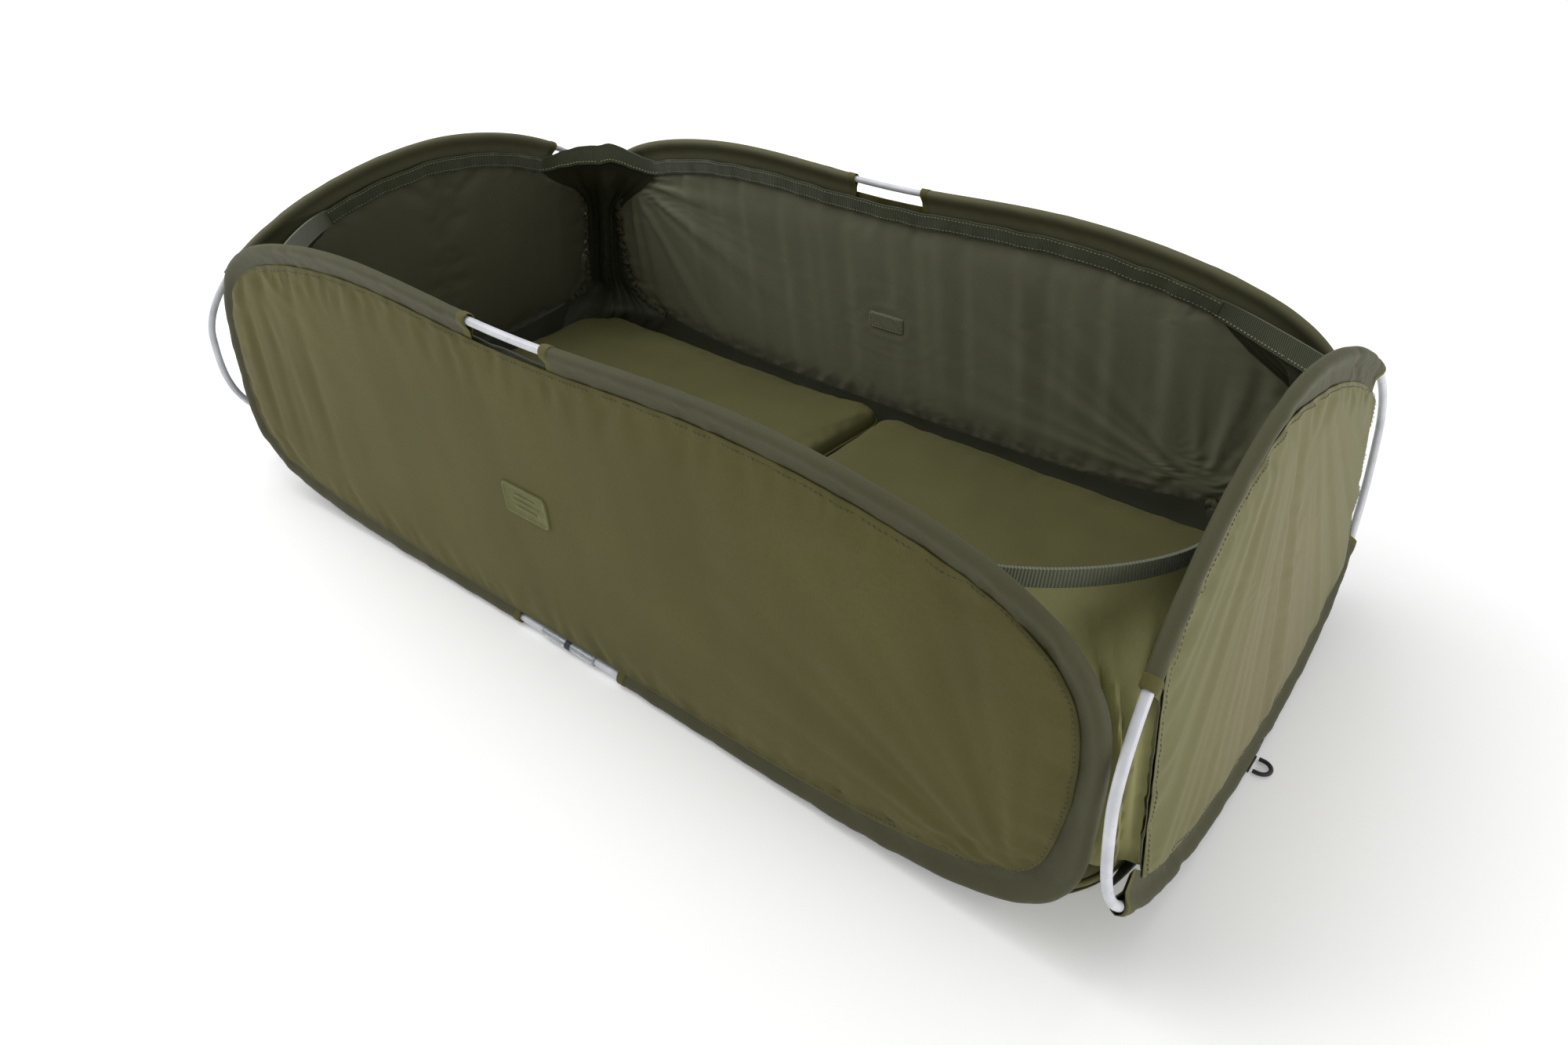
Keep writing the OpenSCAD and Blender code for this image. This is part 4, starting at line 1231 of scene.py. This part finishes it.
def build_corner(long_wall, end_wall, seed):
    """The gathered cloth that joins two walls, its webbing and its ruffled edges."""
    label = f"{long_wall.name}_{end_wall.name}"
    columns, rows = 41, 49
    t = np.linspace(0, 1, columns)
    s = np.linspace(-0.16, 1, rows)
    up = np.maximum(s, 0)
    plus_long, plus_end = end_wall.side > 0, long_wall.side > 0
    p = corner_edge(long_wall, plus_long, up, GUSSET_LONG, PANEL_INSET + 2.5 * MM)
    q = corner_edge(end_wall, plus_end, up, GUSSET_END, PANEL_INSET + 2.5 * MM)
    upper, lower = strap_lines(long_wall, end_wall, t)
    line = p[None] * (1 - t[:, None, None]) + q[None] * t[:, None, None]
    join = smooth(s, 0.60, 1.0)[None, :, None]
    inward = unit(np.array([-end_wall.side, -long_wall.side, 0.0]))
    behind = 0.35 * upper + 0.65 * lower
    top_line = behind[:, None, :] + (line - line[:, -1:, :]) * np.array([0.3, 0.3, 1.0])
    sheet = line * (1 - join) + top_line * join
    below = np.clip(-s / 0.16, 0, 1)[None, :, None]
    sheet = sheet * (1 - below) + corner_foot(long_wall, end_wall, t)[:, None, :] * below
    width = np.linalg.norm(q - p, axis=-1)
    loft = smooth(s, 0, 0.3) * (1 - smooth(s, 0.75, 0.97))
    belly = 12 * MM * np.sin(np.pi * t)[:, None] * loft[None, :]
    loose = np.clip((260 * MM - width) / (130 * MM), 0.5, 1)[None, :]
    turn = TAU * 2.0 * t[:, None] + 0.9 * np.sin(4 * s[None, :] + seed)
    pleats = 1.2 * (1 - 1.7 * np.abs(np.sin(turn / 2)) ** 0.8)
    pleats = pleats + 0.5 * wander(t[:, None] + 0.3 * s[None, :], 0.21, seed)
    held = np.sin(np.pi * t)[:, None] ** 0.8 * (1 - smooth(s, 0.80, 0.97)[None, :])
    held = held * (1 - smooth(-s, 0.04, 0.16)[None, :])
    creases = 1.5 * MM * folds(t[:, None] * 0.16 + 0.05 * s[None, :], 15 * MM, seed + 1) * held
    near_edge = np.exp(-np.minimum(t, 1 - t) / 0.06)[:, None] * (smooth(s, 0, 0.1) * (1 - smooth(s, 0.85, 0.97)))[None, :]
    ruffle = near_edge * 1.6 * MM * wander(s * 0.24, 15 * MM, seed + 2)[None, :]
    sheet = sheet + inward * (belly + 11 * MM * pleats * held * loose + creases + ruffle)[..., None]
    cloth = np.stack(np.broadcast_arrays(t[:, None] * 0.17, s[None, :] * 0.24, 0 * t[:, None]), -1)
    middle = columns // 2
    # The near-foot corner takes the lighter corner cloth (painted light), the other three the darker one (painted
    # shade).
    material = gusset_cloth_painted_light if (long_wall, end_wall) == (NEAR, FOOT) else corner_dark
    for wall, part, word in ((long_wall, slice(0, middle + 1), "side"), (end_wall, slice(middle, columns), "end")):
        half = thick_sheet(f"corner_{label}_{word}", sheet[part], 0.9 * MM, material, cloth[part], centred=True)
        replaced = [f"gusset_{label}"] if word == "side" else ()
        fold_away(fit(half, wall.body, replaced), wall)
    build_strap(label, long_wall, end_wall, t, upper, lower)
    build_ruffles(label, long_wall, end_wall, p[s >= 0], q[s >= 0], seed)


def fold_away(piece, wall):
    """A corner's piece gets a mesh of its own; the wall's middle point is worked out but not used."""
    place = wall.place(0, wall.height / 2, CORNER_FACE)
    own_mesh(piece)


def build_strap(label, long_wall, end_wall, t, upper, lower):
    count = 8
    share = np.linspace(0, 1, count)
    face = upper[:, None, :] * (1 - share[None, :, None]) + lower[:, None, :] * share[None, :, None]
    length = float(np.linalg.norm(np.diff(upper, axis=0), axis=1).sum())
    cloth = np.stack(np.broadcast_arrays(t[:, None] * length, share[None, :] * TAPE_WIDTH, 0 * t[:, None]), -1)
    middle = len(t) // 2
    # The near corners' straps take the lighter webbing, painted light; the far corners' straps keep the rim webbing's
    # colour.
    material = strap_webbing if long_wall is NEAR else tape_webbing
    for wall, part, word in ((long_wall, slice(0, middle + 1), "side"), (end_wall, slice(middle, len(t)), "end")):
        half = thick_sheet(f"strap_{label}_{word}_tape", face[part], STRAP_THICK, material, cloth[part], centred=True)
        replaced = [f"strap_{label}"] if word == "side" else ()
        fold_away(fit(half, wall.body, replaced), wall)
        line = face[part][:, -2]
        normal = grid_normals(face)[part][:, -2]
        outer_side = unit(np.array([end_wall.side, long_wall.side, 0.0])) * (1 if long_wall is NEAR else -1)
        facing = np.sign((normal * outer_side).sum(-1))[:, None]
        lifted = line + normal * facing * (STRAP_THICK / 2 + 0.15 * MM)
        row = stitches(f"strap_{label}_{word}_stitch", lifted, normal * facing, light_thread, radius=2 * THREAD_R)
        fold_away(fit(row, wall.body), wall)


def build_ruffles(label, long_wall, end_wall, p, q, seed):
    """The gathered binding up each edge of a corner's cloth."""
    for wall, edge_line, word, number in ((long_wall, p, "side", 0), (end_wall, q, "end", 1)):
        if long_wall is NEAR and word == "end":
            continue
        run = perimeter(edge_line)
        even = np.arange(0, run[-1], 2.2 * MM)
        line = np.stack([np.interp(even, run, edge_line[:, k]) for k in range(3)], -1)
        wobble = wander(even, 13 * MM, seed + 20 + number)
        ahead = unit(np.gradient(line, axis=0))
        face = unit(wall.place(0, 0, 0.0) - wall.place(0, 0, 1.0))
        across = unit(np.cross(ahead, face))
        line = line + across * (3.0 * MM * wobble)[:, None] + face * (2.4 * MM + 1.8 * MM * np.abs(wobble))[:, None]
        size = 1 + 0.45 * wander(even, 12 * MM, seed + 30 + number)
        around = circle(1.0, 8)
        ring = line[:, None, :] + across[:, None, :] * (6.0 * MM * size[:, None] * around[None, :, 0])[..., None]
        ring = ring + face * (3.2 * MM * size[:, None] * around[None, :, 1])[..., None]
        points, faces = tube_mesh(ring)
        bead = mesh_object(f"ruffle_{label}_{word}", points, faces, sleeve_cloth, along_cloth(even, perimeter(around) * 3 * MM))
        crush(fit(bead, wall.body), wall)


build_corner(NEAR, HEAD, 111)
build_corner(NEAR, FOOT, 121)
build_corner(FAR, HEAD, 131)
build_corner(FAR, FOOT, 141)


# ---- Patches ----
def rounded_outline(width, tall, radius, per_corner=7):
    points = []
    for k, (x, y) in enumerate(((1, 1), (-1, 1), (-1, -1), (1, -1))):
        for a in np.linspace(0, math.pi / 2, per_corner) + k * math.pi / 2:
            points.append([x * (width / 2 - radius) + radius * math.cos(a), y * (tall / 2 - radius) + radius * math.sin(a)])
    return np.array(points)


def stack_solid(levels):
    """Points and faces of a low solid through outlines at rising heights, as (outline, height) pairs."""
    rings = np.array([np.concatenate([line, np.full((len(line), 1), z)], 1) for line, z in levels])
    return tube_mesh(rings)


def on_wall(wall, u, v, face, points, facing):
    """Flat-drawn points [x, y, height] set on a wall's outer (facing 1) or inner (facing -1) face."""
    return wall.place(u + points[:, 0], v + points[:, 1], facing * (face + points[:, 2]))


def face_height(face, place, width, tall):
    """How far the cloth of a face stands off the wall's middle under a badge."""
    wall = face.wall
    under = (np.abs(face.u - place[0]) < width / 2) & (np.abs(face.v - place[1]) < tall / 2)
    off = face.points - wall.place(face.u, face.v, 0.0)
    return float(np.abs(off[..., 1 - wall.axis])[under].max())


def build_patch(wall, place, width, tall):
    """A moulded badge: a plate, a raised border and three plain ribs."""
    face = face_height(FACES[wall.name][0], place, width, tall) - 0.6 * MM
    plate = rounded_outline(width, tall, 5 * MM)
    small = rounded_outline(width - 5 * MM, tall - 5 * MM, 3 * MM)
    shrink = [(plate, 0), (plate, 1.8 * MM), (plate * 0.985, 2.5 * MM), (plate * 0.955, 2.7 * MM)]
    dish = [(small * 1.02, 2.6 * MM), (small, 2.3 * MM), (small * 0.98, 1.6 * MM)]
    points, faces = stack_solid(shrink + dish)
    groups, total = [points], len(points)
    for k in (-1, 0, 1):
        rib = rounded_outline(width * (0.62 - 0.16 * abs(k)), 2.4 * MM, 1.1 * MM, 4)
        rib_points, rib_faces = stack_solid([(rib, 1.3 * MM), (rib, 2.1 * MM), (rib * 0.9, 2.4 * MM)])
        groups.append(rib_points + np.array([0, k * tall * 0.2, 0]))
        faces += [tuple(i + total for i in f) for f in rib_faces]
        total += len(rib_points)
    placed = on_wall(wall, place[0], place[1], face, np.concatenate(groups), 1)
    patch = mesh_object(wall.name + "_badge", placed, faces, patch_material)
    fit(patch, wall.body, [wall.name + "_patch"])


def build_backing(wall, place, width, tall):
    """The sewn-down cloth behind a badge, on the liner side, with its box of stitches."""
    s, t = np.meshgrid(np.linspace(-1, 1, 25), np.linspace(-1, 1, 13), indexing="ij")
    x, y = s * width / 2, t * tall / 2
    rise = 0.9 * MM * (1 - s**8) * (1 - t**6) + 0.4 * MM * wander(x + y, 14 * MM, 151)
    face = face_height(FACES[wall.name][1], place, width, tall)
    points = wall.place(place[0] + x, place[1] + y, -(face + rise))
    cloth = np.stack([x, y, 0 * x], -1)
    outward = wall.place(0, 0, 1.0) - wall.place(0, 0, 0.0)
    facing = float((grid_normals(points) * outward).sum(-1).mean()) > 0
    flap = thick_sheet(wall.name + "_badge_backing", points, 1.6 * MM, liner_cloth, cloth, 1, facing)
    fit(flap, wall.body)
    box = rounded_outline(width - 6 * MM, tall - 6 * MM, 1 * MM, 2)
    box = np.concatenate([box, box[:1]])
    steps = perimeter(box)
    even = np.linspace(0, steps[-1], 90)
    line = np.stack([np.interp(even, steps, box[:, k]) for k in range(2)], -1)
    path = wall.place(place[0] + line[:, 0], place[1] + line[:, 1], -(face + 1.0 * MM))
    row = stitches(wall.name + "_backing_stitch", path, np.broadcast_to(-outward, path.shape), light_thread)
    fit(row, wall.body)


build_patch(NEAR, NEAR_BADGE, 60 * MM, 34 * MM)
build_patch(FAR, FAR_BADGE, 55 * MM, 26 * MM)
build_backing(NEAR, NEAR_BADGE, 54 * MM, 26 * MM)
build_backing(FAR, FAR_BADGE, 54 * MM, 24 * MM)


# ---- Hinge cloth ----
def build_hinge_cloth(wall, reach):
    """The strip that joins the ground sheet to the foot of a wall, baked into the frame."""
    columns, rows = 61, 9
    a, _ = wall.angles(LOW - 1.2, LOW + 1.2, 4 * MM)
    line = wall.edge(a, PANEL_INSET + 6 * MM)
    u = np.linspace(-reach, reach, columns)
    v = np.interp(u, line[:, 0], line[:, 1])
    top = wall.place(u, v, -(TAPE_FACE - 1.5 * MM))
    root = top.copy()
    edge = MAT_HIGH.y + 1.5 * MM if wall.lengthwise else MAT_HIGH.x - 1 * MM
    root[:, 1 - wall.axis] = wall.side * edge
    root[:, 2] = 3.4 * MM
    t = np.linspace(0, 1, rows)[None, :, None]
    points = root[:, None, :] * (1 - t) + top[:, None, :] * t
    slack = 2.5 * MM * np.sin(np.pi * t[..., 0]) * (1 + 0.5 * wander(u, 60 * MM, 171 + WALLS.index(wall)))[:, None]
    points = wall.push(points, slack)
    cloth = np.stack(np.broadcast_arrays(u[:, None], t[..., 0] * 0.04, 0 * u[:, None]), -1)
    name = wall.name + "_hinge_cloth"
    # The hinge strip takes the darker corner cloth: painted shade in the gap at the wall's foot.
    strip = thick_sheet(name, points, 0.9 * MM, corner_dark, cloth)
    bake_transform(strip)


for wall in WALLS:
    build_hinge_cloth(wall, 0.475 if wall.lengthwise else 0.235)


# ---- Peg loops ----
def build_peg_loop(name, way):
    low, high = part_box(name)
    radius = (high.z - low.z) / 2
    start = low.x if way > 0 else -high.x
    end = high.x if way > 0 else -low.x
    middle_y = (low.y + high.y) / 2
    bend = (high.y - low.y) / 2 - radius
    turn = end - radius - bend
    a = np.linspace(-math.pi / 2, math.pi / 2, 25)
    arc = np.stack([turn + bend * np.cos(a), bend * np.sin(a)], -1)
    leg = np.linspace(start, turn, 8)[:-1]
    line = np.concatenate([np.stack([leg, 0 * leg - bend], -1), arc, np.stack([leg[::-1], 0 * leg + bend], -1)])
    ahead = unit(np.gradient(line, axis=0))
    side = np.stack([-ahead[:, 1], ahead[:, 0]], -1)
    around = circle(radius, 12)
    ring = np.zeros((len(line), 12, 3))
    ring[..., :2] = line[:, None, :] + side[:, None, :] * around[None, :, :1]
    ring[..., 2] = (low.z + high.z) / 2 + around[None, :, 1]
    ring[..., 0] *= way
    ring[..., 1] += middle_y
    points, faces = tube_mesh(ring)
    run = perimeter(line)
    loop = mesh_object(name + "_cord", points, faces, cord_material, along_cloth(run, perimeter(around)))
    fit(loop, name, [name])


build_peg_loop("peg_loop_head", -1)
build_peg_loop("peg_loop_foot", 1)
